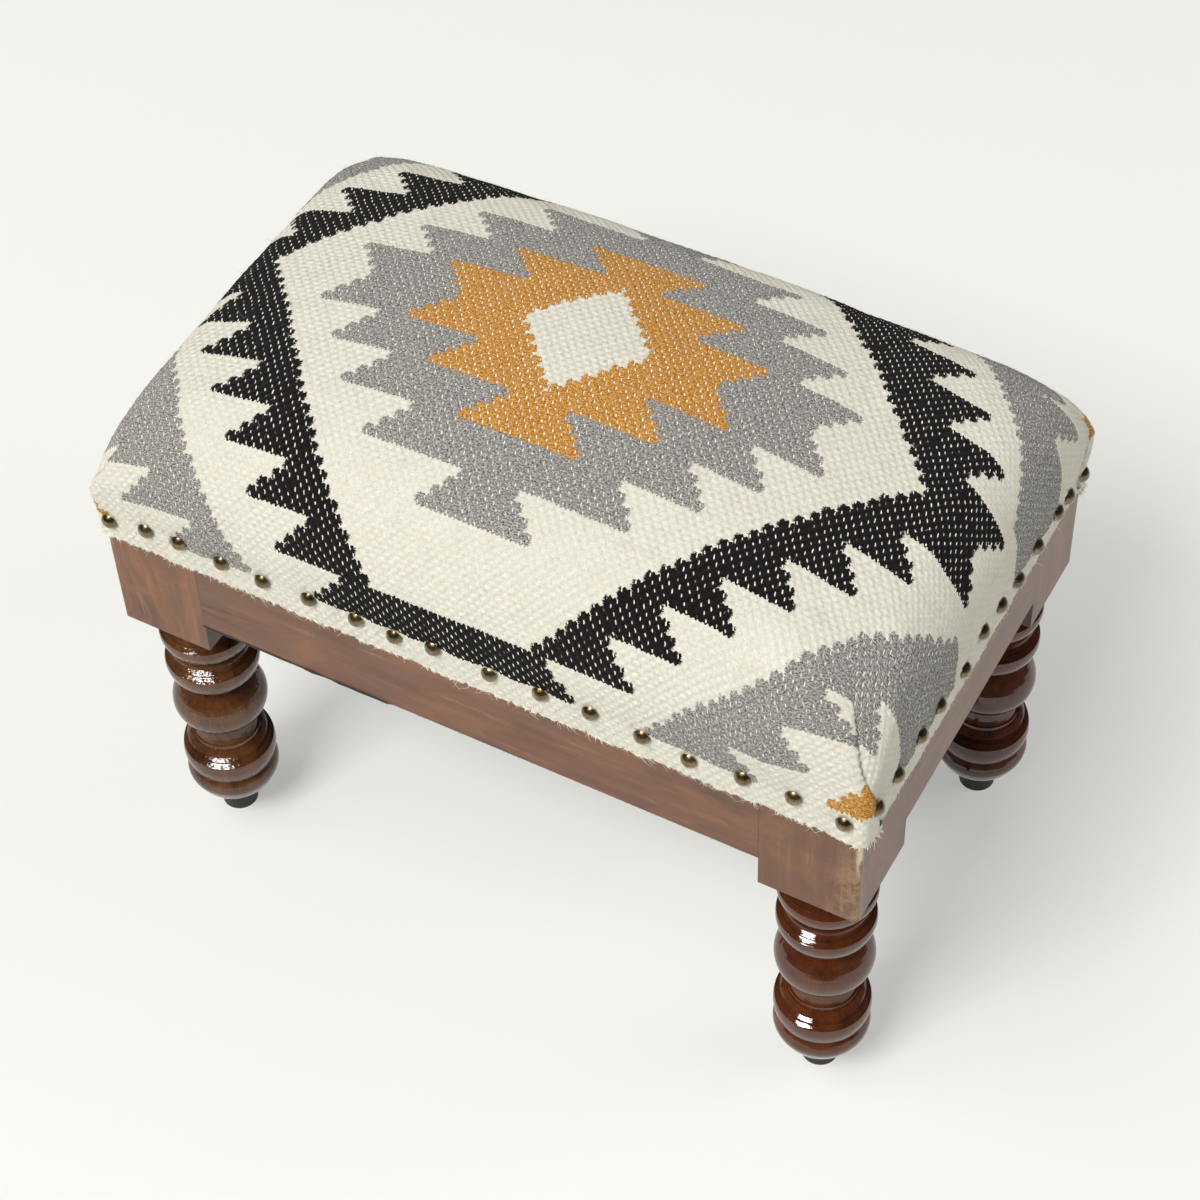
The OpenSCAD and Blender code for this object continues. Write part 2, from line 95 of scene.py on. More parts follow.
def linear(seen):
    """A colour as it is seen, 0 to 255, in the linear values that shaders use."""
    shares = [value / 255.0 for value in seen]
    lit = [share / 12.92 if share <= 0.04045 else ((share + 0.055) / 1.055) ** 2.4 for share in shares]
    return (*lit, 1.0)


def tree_of(places):
    """A search tree that finds the nearest of some places."""
    tree = KDTree(len(places))
    for index, place in enumerate(places):
        tree.insert(place, index)
    tree.balance()
    return tree


# Shader maths
def maths(operation):
    """A method of Value that makes one maths node."""
    def method(self, *others):
        node = self.owner.node("ShaderNodeMath", {"operation": operation}, [self, *others])
        return Value(self.owner, node.outputs[0])
    return method


class Value:
    """A number in a node tree, so that shader maths reads as an expression."""

    def __init__(self, owner, socket):
        self.owner = owner
        self.socket = socket

    __add__ = __radd__ = maths("ADD")
    __sub__ = maths("SUBTRACT")
    __mul__ = __rmul__ = maths("MULTIPLY")
    __truediv__ = maths("DIVIDE")
    __lt__ = maths("LESS_THAN")
    __gt__ = maths("GREATER_THAN")
    __abs__ = maths("ABSOLUTE")
    floor = maths("FLOOR")
    power = maths("POWER")
    cosine = maths("COSINE")
    at_least = maths("MAXIMUM")
    at_most = maths("MINIMUM")

    def __rsub__(self, other):
        return self * -1.0 + other

    def clamp(self):
        return self.at_least(0.0).at_most(1.0)

    def between(self, low, high):
        """0 at low, 1 at high, straight between them."""
        return ((self - low) / (high - low)).clamp()


def socket_name(word):
    """The shader's own name for a socket, from a plain keyword."""
    return word.replace("_", " ").title().replace("Ior", "IOR")


class NodeTree:
    """Short ways to make nodes in one node tree."""

    def __init__(self, tree):
        self.tree = tree

    def node(self, kind, settings=None, sockets=None):
        made = self.tree.nodes.new(kind)
        for key, value in (settings or {}).items():
            setattr(made, key, value)
        if isinstance(sockets, (list, tuple)):
            sockets = dict(enumerate(sockets))
        for key, value in (sockets or {}).items():
            self.feed(made.inputs[key], value)
        return made

    def feed(self, socket, value):
        """Links a value or another socket into a socket, or sets a constant there."""
        if isinstance(value, Value):
            value = value.socket
        if isinstance(value, bpy.types.NodeSocket):
            self.tree.links.new(value, socket)
        else:
            socket.default_value = value

    def split(self, vector):
        made = self.node("ShaderNodeSeparateXYZ", sockets=[vector])
        return [Value(self, socket) for socket in made.outputs]

    def join(self, x, y, z=0.0):
        return self.node("ShaderNodeCombineXYZ", sockets=[x, y, z]).outputs[0]

    def seen_by(self, kind):
        """1 for one kind of ray and 0 for the others."""
        return Value(self, self.node("ShaderNodeLightPath").outputs[kind])


class Finish(NodeTree):
    """A material with one surface shader; colours are given as they are seen, 0 to 255."""

    def __init__(self, name, **constants):
        self.material = bpy.data.materials.new(name)
        self.material.use_nodes = True
        super().__init__(self.material.node_tree)
        self.surface = self.tree.nodes["Principled BSDF"]
        for socket, value in constants.items():
            self.surface.inputs[socket_name(socket)].default_value = value

    def place(self):
        return self.node("ShaderNodeTexCoord").outputs["Object"]

    def stretched(self, *times):
        """The place scaled along each axis; a low number draws a figure out that way."""
        return self.node("ShaderNodeVectorMath", {"operation": "MULTIPLY"}, [self.place(), times]).outputs[0]

    def cloud(self, vector, scale=1.0, detail=2.0, rough=0.5, twist=0.0):
        made = self.node("ShaderNodeTexNoise", sockets={
            "Vector": vector, "Scale": scale, "Detail": detail, "Roughness": rough, "Distortion": twist,
        })
        return Value(self, made.outputs[0])

    def chance(self, x, y):
        sockets = {"Vector": self.join(x, y)}
        made = self.node("ShaderNodeTexWhiteNoise", {"noise_dimensions": "2D"}, sockets)
        return Value(self, made.outputs["Value"])

    def ramp(self, share, stops, interpolation="LINEAR"):
        made = self.node("ShaderNodeValToRGB", sockets=[share])
        for place, _ in stops[1:-1]:
            made.color_ramp.elements.new(place)
        for element, (place, level) in zip(made.color_ramp.elements, stops):
            element.position = place
            element.color = level
        made.color_ramp.interpolation = interpolation
        return made.outputs[0]

    def table(self, index, entries, full):
        """Looks entries up by a whole number, through a ramp of flat steps."""
        size = len(entries)
        stops = [(step / size, (*[entry / full] * 3, 1.0)) for step, entry in enumerate(entries)]
        steps = self.ramp((index + 0.5) / size, stops, "CONSTANT")
        grey = self.node("ShaderNodeSeparateColor", sockets=[steps])
        return Value(self, grey.outputs[0]) * full

    def mix(self, share, first, second):
        """Two colours mixed, each of them a socket or a colour as it is seen."""
        colours = [linear(colour) if isinstance(colour, tuple) else colour for colour in (first, second)]
        made = self.node("ShaderNodeMix", {"data_type": "RGBA"}, dict(zip((0, 6, 7), (share, *colours))))
        return made.outputs[2]

    def layers(self, colour, *paints):
        """A colour with others laid over it, each by its own share."""
        for share, paint in paints:
            colour = self.mix(share, colour, paint)
        return colour

    def colour_ramp(self, share, *stops):
        return self.ramp(share, [(place, linear(seen)) for place, seen in stops])

    def bump(self, height, depth, normal=None):
        sockets = {"Height": height, "Distance": depth}
        if normal is not None:
            sockets["Normal"] = normal
        return self.node("ShaderNodeBump", sockets=sockets).outputs[0]

    def finish(self, **links):
        for socket, value in links.items():
            self.feed(self.surface.inputs[socket_name(socket)], value)
        return self.material


def speckled(name, low, high, size, rough, relief=0.0, detail=4.0, grain=0.6, **constants):
    """A plain surface whose tone wavers; rough is its roughness and how far that wavers."""
    f = Finish(name, **constants)
    marks = f.cloud(f.place(), size, detail, grain)
    links = {"base_color": f.mix(marks, low, high), "roughness": marks * rough[1] + rough[0]}
    if relief:
        links["normal"] = f.bump(marks, relief)
    return f.finish(**links)


# Materials of the wood
PLY_T = 1.5
JOINT_GAP = 0.28
WORN_RIM = 1.2
FRAME_BROWNS = ((63, 40, 24), (95, 60, 37), (112, 73, 46), (133, 94, 62))
FRAME_STOPS = (0.34, 0.46, 0.56, 0.70)


def frame_wood(name, along, tone=1.0, swirl=0.5, scuffed=False):
    """Stained, satin frame wood whose grain runs along one axis; swirl bends its figure."""
    f = Finish(name, specular_ior_level=0.32, coat_roughness=0.28)
    x, y, z = f.split(f.place())
    times = [34.0, 34.0, 34.0]
    times[along] = 3.0

    def toned(*seen):
        return tuple(channel * tone for channel in seen)

    def drawn(width, height):
        return f.stretched(times[0] * width, times[1] * width, times[2] * height)

    bend = f.cloud(f.place(), 11.0) * swirl * 1.6
    bent = f.join(x * times[0] + bend, y * times[1] + bend, z * times[2] + bend)
    figure = f.cloud(bent, 1.0, 5.0, 0.62, 0.9 + swirl)
    pores = f.cloud(drawn(9.0, 7.0), 1.0, 4.0, 0.7, 0.1)
    streaks = f.cloud(drawn(2.1, 1.7), 1.0, 3.0, 0.6, 0.6)
    stain = f.cloud(f.place(), 14.0, 3.0, 0.55)
    shade = figure * 0.40 + pores * 0.28 + stain * 0.18 + streaks * 0.14
    colour = f.colour_ramp(shade, *[(at, toned(*seen)) for at, seen in zip(FRAME_STOPS, FRAME_BROWNS)])
    warm = f.cloud(f.join(x * 16.0 + 5.0, y * 16.0, z * 22.0), 1.0, 4.0, 0.65, 0.6)
    joint_x = abs(abs(x) - (FRAME_HALF_L - BLOCK_W) * MM) < JOINT_GAP * MM
    joint_y = abs(abs(y) - (FRAME_HALF_W - BLOCK_W) * MM) < JOINT_GAP * MM
    colour = f.layers(
        colour,
        (warm.between(0.52, 0.70) * 0.42, toned(142, 91, 58)),
        (warm.between(0.47, 0.33) * 0.5, toned(88, 68, 56)),
        (streaks.between(0.38, 0.28) * figure.between(0.58, 0.42) * 0.8, toned(50, 31, 24)),
        (pores.between(0.60, 0.74) * 0.30, (176, 138, 104)),
        (joint_x.at_least(joint_y) * 0.55, (40, 26, 20)),
    )
    rough = pores * 0.18 + 0.40
    if scuffed:
        colour, rough = scuff(f, x, y, z, colour, rough)
    rim = (abs(x) / MM - FRAME_HALF_L + WORN_RIM).clamp() * (abs(y) / MM - FRAME_HALF_W + WORN_RIM).clamp()
    colour = f.mix(rim * pores.between(0.42, 0.60) * 0.5, colour, (166, 140, 104))
    normal = f.bump(figure * 0.3 + pores + streaks * 0.2, 0.00022)
    return f.finish(base_color=colour, roughness=rough, coat_weight=0.34 + stain * 0.12, normal=normal)


def scuff(f, x, y, z, colour, rough):
    """The near corner's knocks: fields rubbed beside its edge, and bare splinters at the edge's top."""
    edge = abs(x - FRAME_HALF_L * MM).at_least(abs(y + FRAME_HALF_W * MM)) / MM
    threads = f.cloud(f.stretched(420.0, 420.0, 30.0), 1.0, 4.0, 0.75, 0.8)
    flakes = f.cloud(f.stretched(150.0, 150.0, 190.0), 1.0, 4.0, 0.7, 1.6)
    worn = f.cloud(f.stretched(40.0, 40.0, 30.0)) * 0.5 + edge.between(19.0, 2.0) * 0.6
    rubbed = worn.between(0.42, 0.72) * (flakes * 0.7 + threads * 0.3).between(0.42, 0.60)
    colour = f.mix(rubbed * 0.6, colour, (156, 126, 92))
    near_top = (z / MM).between(196.0, 214.0)
    bare = (edge + threads * 5.0).between(5.6, 3.2) * threads.between(0.36, 0.52) * near_top
    return f.mix(bare * 0.9, colour, (218, 208, 176)), rough + rubbed * 0.12


# Turned rolls of a leg, in millimetres: where a pair starts, its lower roll's and upper roll's height
ROLL_PAIRS = ((41.5, 15.5, 5.5), (116.0, 13.0, 8.0), (140.0, 12.0, 8.0))
RED_BROWNS = ((44, 18, 7), (70, 33, 14), (84, 42, 18), (104, 58, 27))
OLIVE_BROWNS = ((48, 27, 11), (76, 45, 23), (92, 58, 31), (116, 80, 46))
LEG_STOPS = (0.34, 0.47, 0.58, 0.74)
LIP_H = 3.6
LIP_SLOPES = (1.55, 1.0)
UPPER_LIP_SLOPES = (1.9, 0.9)


def fall(over, reach, slopes):
    """How far a lip has fallen at some height over its foot; it levels out as the roll turns in."""
    over = over.at_least(0.0).at_most(reach)
    return over * slopes[0] - over * over * ((slopes[0] - slopes[1]) / (2.0 * reach))


def roll_lips(f, z):
    """The narrow sloping lips that the gouge left on each roll, which catch the light."""
    height = 0.0
    for start, lower, upper in ROLL_PAIRS:
        over = z - (start + lower - LIP_H)
        height = height - fall(over, LIP_H, LIP_SLOPES) * (over < LIP_H)
        over = z - (start + lower)
        height = height - fall(over, upper * 0.5, UPPER_LIP_SLOPES) * (over < upper)
    return f.bump(height, MM)


def leg_wood(name, peel, browns):
    """Dark turned wood under thick gloss lacquer; peel is how uneven the lacquer is."""
    f = Finish(name, ior=1.6, specular_ior_level=0.5)
    _, _, z = f.split(f.place())
    figure = f.cloud(f.stretched(70.0, 70.0, 9.0), 1.0, 5.0, 0.62, 1.2)
    pores = f.cloud(f.stretched(70.0, 70.0, 9.0), 7.0, 3.0, 0.7)
    rings = f.cloud(f.stretched(9.0, 9.0, 260.0))
    shade = figure * 0.6 + pores * 0.22 + rings * 0.18
    skin = f.cloud(f.place(), 420.0)
    drops = f.cloud(f.place(), 900.0, 1.0, 0.4)
    return f.finish(
        base_color=f.colour_ramp(shade, *zip(LEG_STOPS, browns)),
        roughness=0.04 + pores * 0.05,
        normal=f.bump((skin + drops * 0.5) * peel, 0.0007, roll_lips(f, z / MM)),
    )


def plywood():
    f = Finish("birch_plywood")
    _, _, z = f.split(f.place())
    plies = (z * (2.0 * math.pi / (PLY_T * MM))).cosine() * 0.5 + 0.5
    grain = f.cloud(f.stretched(10.0, 120.0, 120.0), 1.0, 4.0, 0.6)
    colour = f.mix(plies * 0.35, f.mix(grain, (196, 164, 118), (222, 196, 152)), (150, 112, 72))
    return f.finish(base_color=colour, roughness=0.6 + grain * 0.2, normal=f.bump(grain, 0.0002))


# Materials of the metal and rubber
def antique_brass():
    f = Finish("antique_brass_nail", metallic=1.0, coat_weight=1.0, coat_roughness=0.1)
    patina = f.cloud(f.place(), 260.0, 4.0, 0.65)
    marks = f.cloud(f.place(), 1400.0, 3.0, 0.6)
    shade = patina * 0.7 + marks * 0.3
    return f.finish(
        base_color=f.colour_ramp(shade, (0.34, (68, 54, 30)), (0.50, (114, 95, 57)), (0.68, (160, 139, 92))),
        roughness=0.20 + patina * 0.24,
        normal=f.bump(marks * 0.4 + patina, 0.00018),
    )


def foot_rubber():
    f = Finish("black_rubber", specular_ior_level=0.4)
    specks = f.cloud(f.place(), 900.0, 4.0, 0.6)
    scuffs = f.cloud(f.place(), 160.0, 3.0, 0.6)
    colour = f.mix(scuffs, (30, 29, 31), (58, 56, 58))
    return f.finish(base_color=colour, roughness=0.5 + scuffs * 0.2, normal=f.bump(specks, 0.0002))


# Materials of the cloth
GOLD_COURSES = (14, 9, 3)
GREY_COURSES = (24, 20, 16, 11, 3)
BLACK_COURSES = (43, 36, 32, 28, 24, 20, 16, 12)
CORNER_COURSES = (60, 60, 60, 60, 44, 39, 34, 29)
DIAMOND = 6.4
HEXAGON_FRONT = 34.6
HEXAGON_BACK = 35.6
CORNER_FIELD = 54.0
CORNER_TIP = 43.0
CORNER_TIP_END = 30.7
ALL_COURSES = 8
TABLE_FULL = 64.0


def stepped_pattern(f, across, along):
    """The masks of each colour of wool, from stitch coordinates with the motif's middle at zero."""
    drift = f.cloud(f.join(across * 0.9, along * 0.4)) - 0.5
    bumps = (across * (4.0 * math.pi)).cosine()
    spikes = f.cloud(f.join(across * 4.6, along * 1.1), 1.0, 3.0, 0.6) - 0.5
    high = (abs(along + drift * 0.22) + bumps * 0.07 + spikes * 0.42).at_least(0.0)
    wide = abs(across)
    row = high.floor()
    in_row = high - row
    course = (row / COURSE).floor()
    step = row - course * COURSE
    right = across > 0.0
    back = along > 0.0
    ragged = f.chance(row + 40.0 * right, 3.0 + 7.0 * back) - 0.5
    hairs = f.cloud(f.join(across * 2.6, along * 11.0), 1.0, 3.0, 0.65) - 0.5
    turn = 0.20 - abs(in_row - 0.5).power(3.0) * 2.4 + ragged * 0.36 + hairs

    def inside(width, last, bulge):
        return ((width + bulge - wide) / 0.10 + 0.5).clamp() * (row < last)

    def from_table(entries):
        padded = [*entries, *(0,) * (ALL_COURSES + 1 - len(entries))]
        return f.table(course, padded, TABLE_FULL) + step

    wide_teeth = right * back * 2.0 * (course > 0.5) - right * (1.0 - back) * 2.0 * (course > 6.5)
    black = inside(from_table(BLACK_COURSES) + wide_teeth, ALL_COURSES * COURSE, turn)
    hexagon_start = HEXAGON_FRONT - row * 0.95 + back * (HEXAGON_BACK - HEXAGON_FRONT - row * 0.13)
    hexagon = inside(hexagon_start, (ALL_COURSES - 1) * COURSE, turn * -1.0)
    grey = inside(from_table(GREY_COURSES), len(GREY_COURSES) * COURSE, turn)
    gold = inside(from_table(GOLD_COURSES), len(GOLD_COURSES) * COURSE, turn)
    diamond = inside(DIAMOND - row, DIAMOND, turn * -1.0)
    near_corner = right * (1.0 - back)
    left = 1.0 - right
    field_start = CORNER_FIELD - row - right * (2.3 - back * 0.3) - left * (6.4 - row * 0.2 + back * 0.6)
    field_start = field_start + near_corner * (14.0 - row).at_least(0.0) * 0.2
    reaching = (course > 4.5) * (1.0 - step * 0.5)
    narrower = near_corner * ((course > 3.5) * 1.2 + reaching) * (course < 5.5)
    field_end = from_table(CORNER_COURSES) - narrower
    field = inside(field_end, ALL_COURSES * COURSE, turn) * (row > 4.5 + right) * (wide < 54.4)
    field = field * (1.0 - inside(field_start, 99.0, turn * -1.0))
    tip = (row - 26.6 - abs(wide - CORNER_TIP) + turn).between(0.0, 0.1) * (high < CORNER_TIP_END)
    grey_wool = (field + hexagon * grey).clamp()
    gold_wool = (tip + hexagon * gold * (1.0 - diamond)).clamp()
    grey_wool = grey_wool * (1.0 - hexagon * diamond)
    black_wool = black * (1.0 - hexagon)
    return black_wool, grey_wool, gold_wool


def kilim_wool():
    """Flat-woven wool: thick wefts that cover a thin cream warp, which shows as dots."""
    f = Finish("kilim_wool", sheen_weight=0.03, sheen_roughness=0.5, specular_ior_level=0.12)
    weave = f.node("ShaderNodeUVMap", {"uv_map": "weave"}).outputs[0]
    across, along, _ = f.split(weave)
    black, grey, gold = stepped_pattern(f, across, along)
    wander = f.cloud(f.join(across * 0.35, along * 0.35)) - 0.5
    shiver = f.cloud(f.join(across * 1.7 + 9.0, along * 1.7)) - 0.5
    warp = across * 2.0 + wander * 0.5 + shiver * 0.34
    pick = along * 2.0 + wander * 0.35 + shiver * 0.4
    in_warp = warp - warp.floor() - 0.5
    in_pick = pick - pick.floor() - 0.5
    over = (warp.floor() + pick.floor()) * 0.5
    under_cell = 1.0 - (over - over.floor()) * 2.0
    luck = f.chance(warp.floor(), pick.floor())
    other_luck = f.chance(pick.floor() + 31.0, warp.floor())
    lean = in_warp + in_pick * 0.42 + (other_luck - 0.5) * 0.22
    dot = 1.0 - ((lean / 0.14).power(2.0) + (in_pick / (0.23 + luck * 0.20)).power(2.0))
    dot = (dot * 3.0).clamp() * under_cell * luck.between(0.03, 0.20)
    swell = (math.pi * (warp - 0.5)).cosine() * (math.pi * (pick - 0.5)).cosine() * -0.5 + 0.5
    ridge = 1.0 - (in_pick * 2.0).power(2.0)
    yarn = (swell * 0.72 + ridge * 0.28) * (0.78 + other_luck * 0.3)
    flecks = f.cloud(f.join(across * 4.2 + along * 1.2, along * 8.0), 1.0, 3.0, 0.8)
    twist = f.join(across * 6.0 + along * 4.0, along * 17.0 - across * 5.0)
    strands = f.cloud(twist, 1.0, 3.0, 0.75, 1.2)
    lot = f.cloud(f.join(across * 0.12, along * 1.1), 1.0, 2.0, 0.6)
    soil = f.cloud(f.join(across * 0.5 + 3.0, along * 0.5), 1.0, 4.0, 0.65)
    heather = flecks * 0.6 + strands * 0.4
    pale = heather.between(0.36, 0.62)
    speck = heather.between(0.43, 0.57)
    cream = f.layers(
        f.mix(pale, (213, 209, 192), (250, 247, 235)),
        (lot.between(0.45, 0.75) * 0.26, (222, 214, 190)),
        (soil.between(0.54, 0.72) * 0.22, (198, 191, 170)),
    )
    worn = soil.between(0.40, 0.60) * 0.5 + 0.5
    colour = f.layers(
        cream,
        (grey, f.mix(speck, (52, 50, 49), (206, 203, 196))),
        (gold, f.mix(speck, (134, 72, 18), (248, 190, 100))),
        (black, f.mix(speck, (6, 5, 5), (33, 27, 26))),
        (dot * (black + grey * worn + gold * 0.26), (254, 251, 240)),
    )
    # Painted shade: the colour is pulled towards a dark brown in the hollows between the yarns, where shade
    # falls.
    painted_yarn_shade = (1.0 - yarn.between(0.02, 0.50)) * 0.32 * (1.0 - dot)
    colour = f.mix(painted_yarn_shade, colour, f.mix(0.60, colour, (34, 26, 20)))
    normal = f.bump(yarn * 0.66 + strands * 0.36 + flecks * 0.36 - dot * 0.1, 0.0016)
    return f.finish(base_color=colour, roughness=0.86 + flecks * 0.1, normal=normal)


THREADS_A_METRE = 5200.0


def dust_cloth():
    f = Finish("dust_cloth_fabric", sheen_weight=0.1)
    x, y, _ = f.split(f.place())
    threads = (x * THREADS_A_METRE).cosine() * (y * THREADS_A_METRE).cosine() * 0.5 + 0.5
    blotch = f.cloud(f.place(), 140.0, 4.0, 0.6)
    colour = f.mix(blotch * 0.6 + threads * 0.4, (26, 26, 28), (60, 59, 61))
    return f.finish(base_color=colour, roughness=0.85 + blotch * 0.1, normal=f.bump(threads + blotch, 0.0002))


# The seat's form
UPRIGHT = math.pi / 2.0


def seat_outline(up):
    """Half length, half width and corner radius of the cushion at an angle up its shoulder."""
    back_off = 1.0 - math.cos(up)
    corner = HEM_CORNER_R + SHOULDER_CORNER_R * math.sin(up)
    return HALF_L - SHOULDER_L * back_off, HALF_W - SHOULDER_W * back_off, corner


def seat_height(x, y, up):
    crown = CROWN_H * (1.0 - (x / HALF_L) ** 2) * (1.0 - (y / HALF_W) ** 2)
    return DECK_Z + (SHOULDER_H + crown) * math.sin(up)


class Profile:
    """The line that a warp or weft follows from the seat's middle, over the shoulder, to the hem."""

    TOP_STEPS = 24
    SHOULDER_STEPS = 90

    def __init__(self, fixed, axis):
        start = UPRIGHT
        if fixed > seat_outline(start)[axis]:
            reach = (SHOULDER_L, SHOULDER_W)[axis]
            cosine = 1.0 - ((HALF_L, HALF_W)[axis] - fixed) / reach
            start = math.acos(min(1.0, max(-1.0, cosine)))
        first = self.edge(fixed, axis, start)
        steps = [(first * step / self.TOP_STEPS, start) for step in range(self.TOP_STEPS)]
        for step in range(self.SHOULDER_STEPS + 1):
            up = start * (1.0 - step / self.SHOULDER_STEPS)
            steps.append((self.edge(fixed, axis, up), up))
        self.points = []
        for out, up in steps:
            x, y = (fixed, out) if axis == 0 else (out, fixed)
            self.points.append((out, seat_height(x, y, up)))
        self.points.append((self.points[-1][0], SKIRT_Z))
        self.lengths = [0.0]
        for (out_a, z_a), (out_b, z_b) in zip(self.points, self.points[1:]):
            self.lengths.append(self.lengths[-1] + math.hypot(out_b - out_a, z_b - z_a))
        self.whole = self.lengths[-1]

    def edge(self, fixed, axis, up):
        half_l, half_w, corner = seat_outline(up)
        along, across = (half_l, half_w) if axis == 0 else (half_w, half_l)
        over = min(max(fixed - (along - corner), 0.0), corner)
        return across - corner + math.sqrt(corner * corner - over * over)

    def at(self, length):
        """The place at a length along the line, and straight down past its end."""
        if length >= self.whole:
            return self.points[-1][0], SKIRT_Z - (length - self.whole)
        high = max(bisect.bisect_right(self.lengths, length), 1)
        low = high - 1
        share = (length - self.lengths[low]) / (self.lengths[high] - self.lengths[low])
        (out_a, z_a), (out_b, z_b) = self.points[low], self.points[high]
        return out_a + share * (out_b - out_a), z_a + share * (z_b - z_a)


class Seat:
    """Lays the flat cloth on the cushion: cloth millimetres in, a place on the seat out."""

    CROWN_SLACK_L = 3.2e-7
    CROWN_SLACK_W = 2.15e-6
    TOP_L = 182.0
    TOP_W = 88.0
    EASE_L = 110.0
    EASE_W = 50.0
    FOLD_BLEND = 30.0
    LAP = 13.5
    LAP_TOP_Z = 275.0
    LAP_LOW_Z = 240.0
    TUCK = 6.0
    FOLD_STEPS = 60
    LOOK_BACK = 40.0
    HALVINGS = 18
    INSIDE_END = 0.3

    def __init__(self):
        self.lines = ({}, {})
        self.half_v = Profile(0.0, 0).whole
        self.half_u = Profile(0.0, 1).whole
        self.fold = []
        for step in range(self.FOLD_STEPS + 1):
            up = UPRIGHT * (1.0 - step / self.FOLD_STEPS)
            half_l, half_w, corner = seat_outline(up)
            reach = corner * math.sqrt(0.5)
            x, y = half_l - corner + reach, half_w - corner + reach
            self.fold.append((x, y, seat_height(x, y, up), half_l, half_w, corner))
        self.apex = self.fold[0]

    def line(self, fixed, axis):
        key = round(fixed, 2)
        if key not in self.lines[axis]:
            self.lines[axis][key] = Profile(key, axis)
        return self.lines[axis][key]

    def fold_at(self, z):
        """The fold's middle place and the seat's outline at a height."""
        for upper, lower in zip(self.fold, self.fold[1:]):
            if z >= lower[2]:
                share = min(max((upper[2] - z) / (upper[2] - lower[2]), 0.0), 1.0)
                return [a + (b - a) * share for a, b in zip(upper, lower)]
        return self.fold[-1]

    def lap_at(self, z):
        """How far the front's cloth laps round the corner onto the side, at a height."""
        return self.LAP * smooth(self.LAP_TOP_Z, self.LAP_LOW_Z, z)

    def on_front(self, x, v):
        x = min(x, HALF_L - self.INSIDE_END)
        profile = self.line(x, 0)
        slack = (self.half_v - profile.whole) * smooth(self.EASE_W, self.half_v, v)
        return Vector((x, *profile.at(v - slack)))

    def over_front(self, u, v):
        """A cloth point laid over the front, and how far it lies past the fold."""
        x = u - self.CROWN_SLACK_L * min(u, self.TOP_L) ** 3
        place = self.on_front(x, v)
        if place.z > self.apex[2] or x < self.apex[0]:
            return place, self.above_fold(place)
        for _ in range(3):
            turn_x, _, _, half_l, half_w, corner = self.fold_at(place.z)
            if x <= turn_x:
                return place, x - turn_x - self.lap_at(place.z)
            place = self.on_front(turn_x, v)
        past = x - turn_x
        arc = corner * math.pi / 4.0
        if past < arc:
            angle = math.pi / 4.0 - past / corner
            place.x = half_l - corner + corner * math.cos(angle)
            place.y = half_w - corner + corner * math.sin(angle)
        else:
            place.x, place.y = half_l, half_w - corner - (past - arc)
        return place, past - self.lap_at(place.z)

    def over_side(self, u, v):
        """A cloth point laid over the side, and how far it lies past the fold."""
        y = min(v - self.CROWN_SLACK_W * min(v, self.TOP_W) ** 3, HALF_W - self.INSIDE_END)
        profile = self.line(y, 1)
        slack = (self.half_u - profile.whole) * smooth(self.EASE_L, self.half_u, u)
        x, z = profile.at(u - slack)
        place = Vector((x, y, z))
        if z > self.apex[2] or y < self.apex[1] - 20.0:
            return place, self.above_fold(place)
        _, turn_y, _, _, half_w, corner = self.fold_at(z)
        if y > turn_y:
            return place, turn_y - y - self.lap_at(z)
        angle = math.asin(min(max((y - half_w + corner) / corner, 0.0), 1.0))
        round_corner = corner * (math.pi / 4.0 - angle) + max(half_w - corner - y, 0.0)
        return place, round_corner - self.lap_at(z)

    def above_fold(self, place):
        return (place.x - self.apex[0]) - (place.y - self.apex[1])

    def lay(self, u, v):
        """The place of a point of the cloth's first quarter, and the flap that it is on, if any."""
        (front, past_front), (side, past_side) = self.over_front(u, v), self.over_side(u, v)
        if past_front >= 0.0 and past_side <= 0.0:
            return None, "hidden"
        if past_front < 0.0 < past_side:
            share = smooth(-self.FOLD_BLEND, self.FOLD_BLEND, (u - self.apex[0]) - (v - self.apex[1]))
            return front.lerp(side, share), "front" if share < 0.5 else "side"
        return (front, "front") if past_front < 0.0 else (side, "side")

    def last_of(self, start, past, limit):
        """The last cloth coordinate before start that isn't past a limit."""
        low, high = start - self.LOOK_BACK, start
        for _ in range(self.HALVINGS):
            middle = (low + high) / 2.0
            low, high = (middle, high) if past(middle) < limit else (low, middle)
        return low

    def end_front(self, u, v):
        """Where the front's cloth turns under at the fold."""
        last = self.last_of(u, lambda value: self.over_front(value, v)[1], 0.0)
        return last, v, self.over_front(last, v)[0]

    def end_side(self, u, v):
        """Where the side's cloth ends, tucked in behind the front's."""
        edge = self.last_of(v, lambda value: -self.over_side(u, value)[1], 0.0)
        z = self.over_side(u, edge)[0].z
        tuck = self.TUCK * smooth(self.apex[2] - 6.0, self.apex[2] - 40.0, z)
        last = self.last_of(v, lambda value: -self.over_side(u, value)[1], tuck)
        return u, last, self.over_side(u, last)[0]


def stitches(u, v):
    """Stitch coordinates of a cloth point: the weave is bowed by the pull at both ends."""
    bow = WEFT_BOW * min(abs(u) / BOW_REACH, 1.0) ** 4
    reach = v / BOW_REACH
    along = MOTIF_BACK + v / STITCH_W + TIGHTER_AT_BACK * reach * reach + bow
    across = MOTIF_RIGHT + u / STITCH_L
    if across > 0.0 > along:
        along -= pull_to_fold(across, -along)
    return across, along


def pull_to_fold(across, rows):
    """How far the front right corner's fold drags the wefts down, in rows."""
    front = min(max(-0.9 + 0.26 * (across - 32.8), -0.9), 1.2)
    front *= smooth(17.0, 22.0, rows) * smooth(31.5, 28.5, rows) * smooth(25.0, 30.0, across)
    side = -0.8 * smooth(38.0, 43.0, across) * smooth(11.0, 15.0, rows) * smooth(22.0, 21.0, rows)
    return front + side


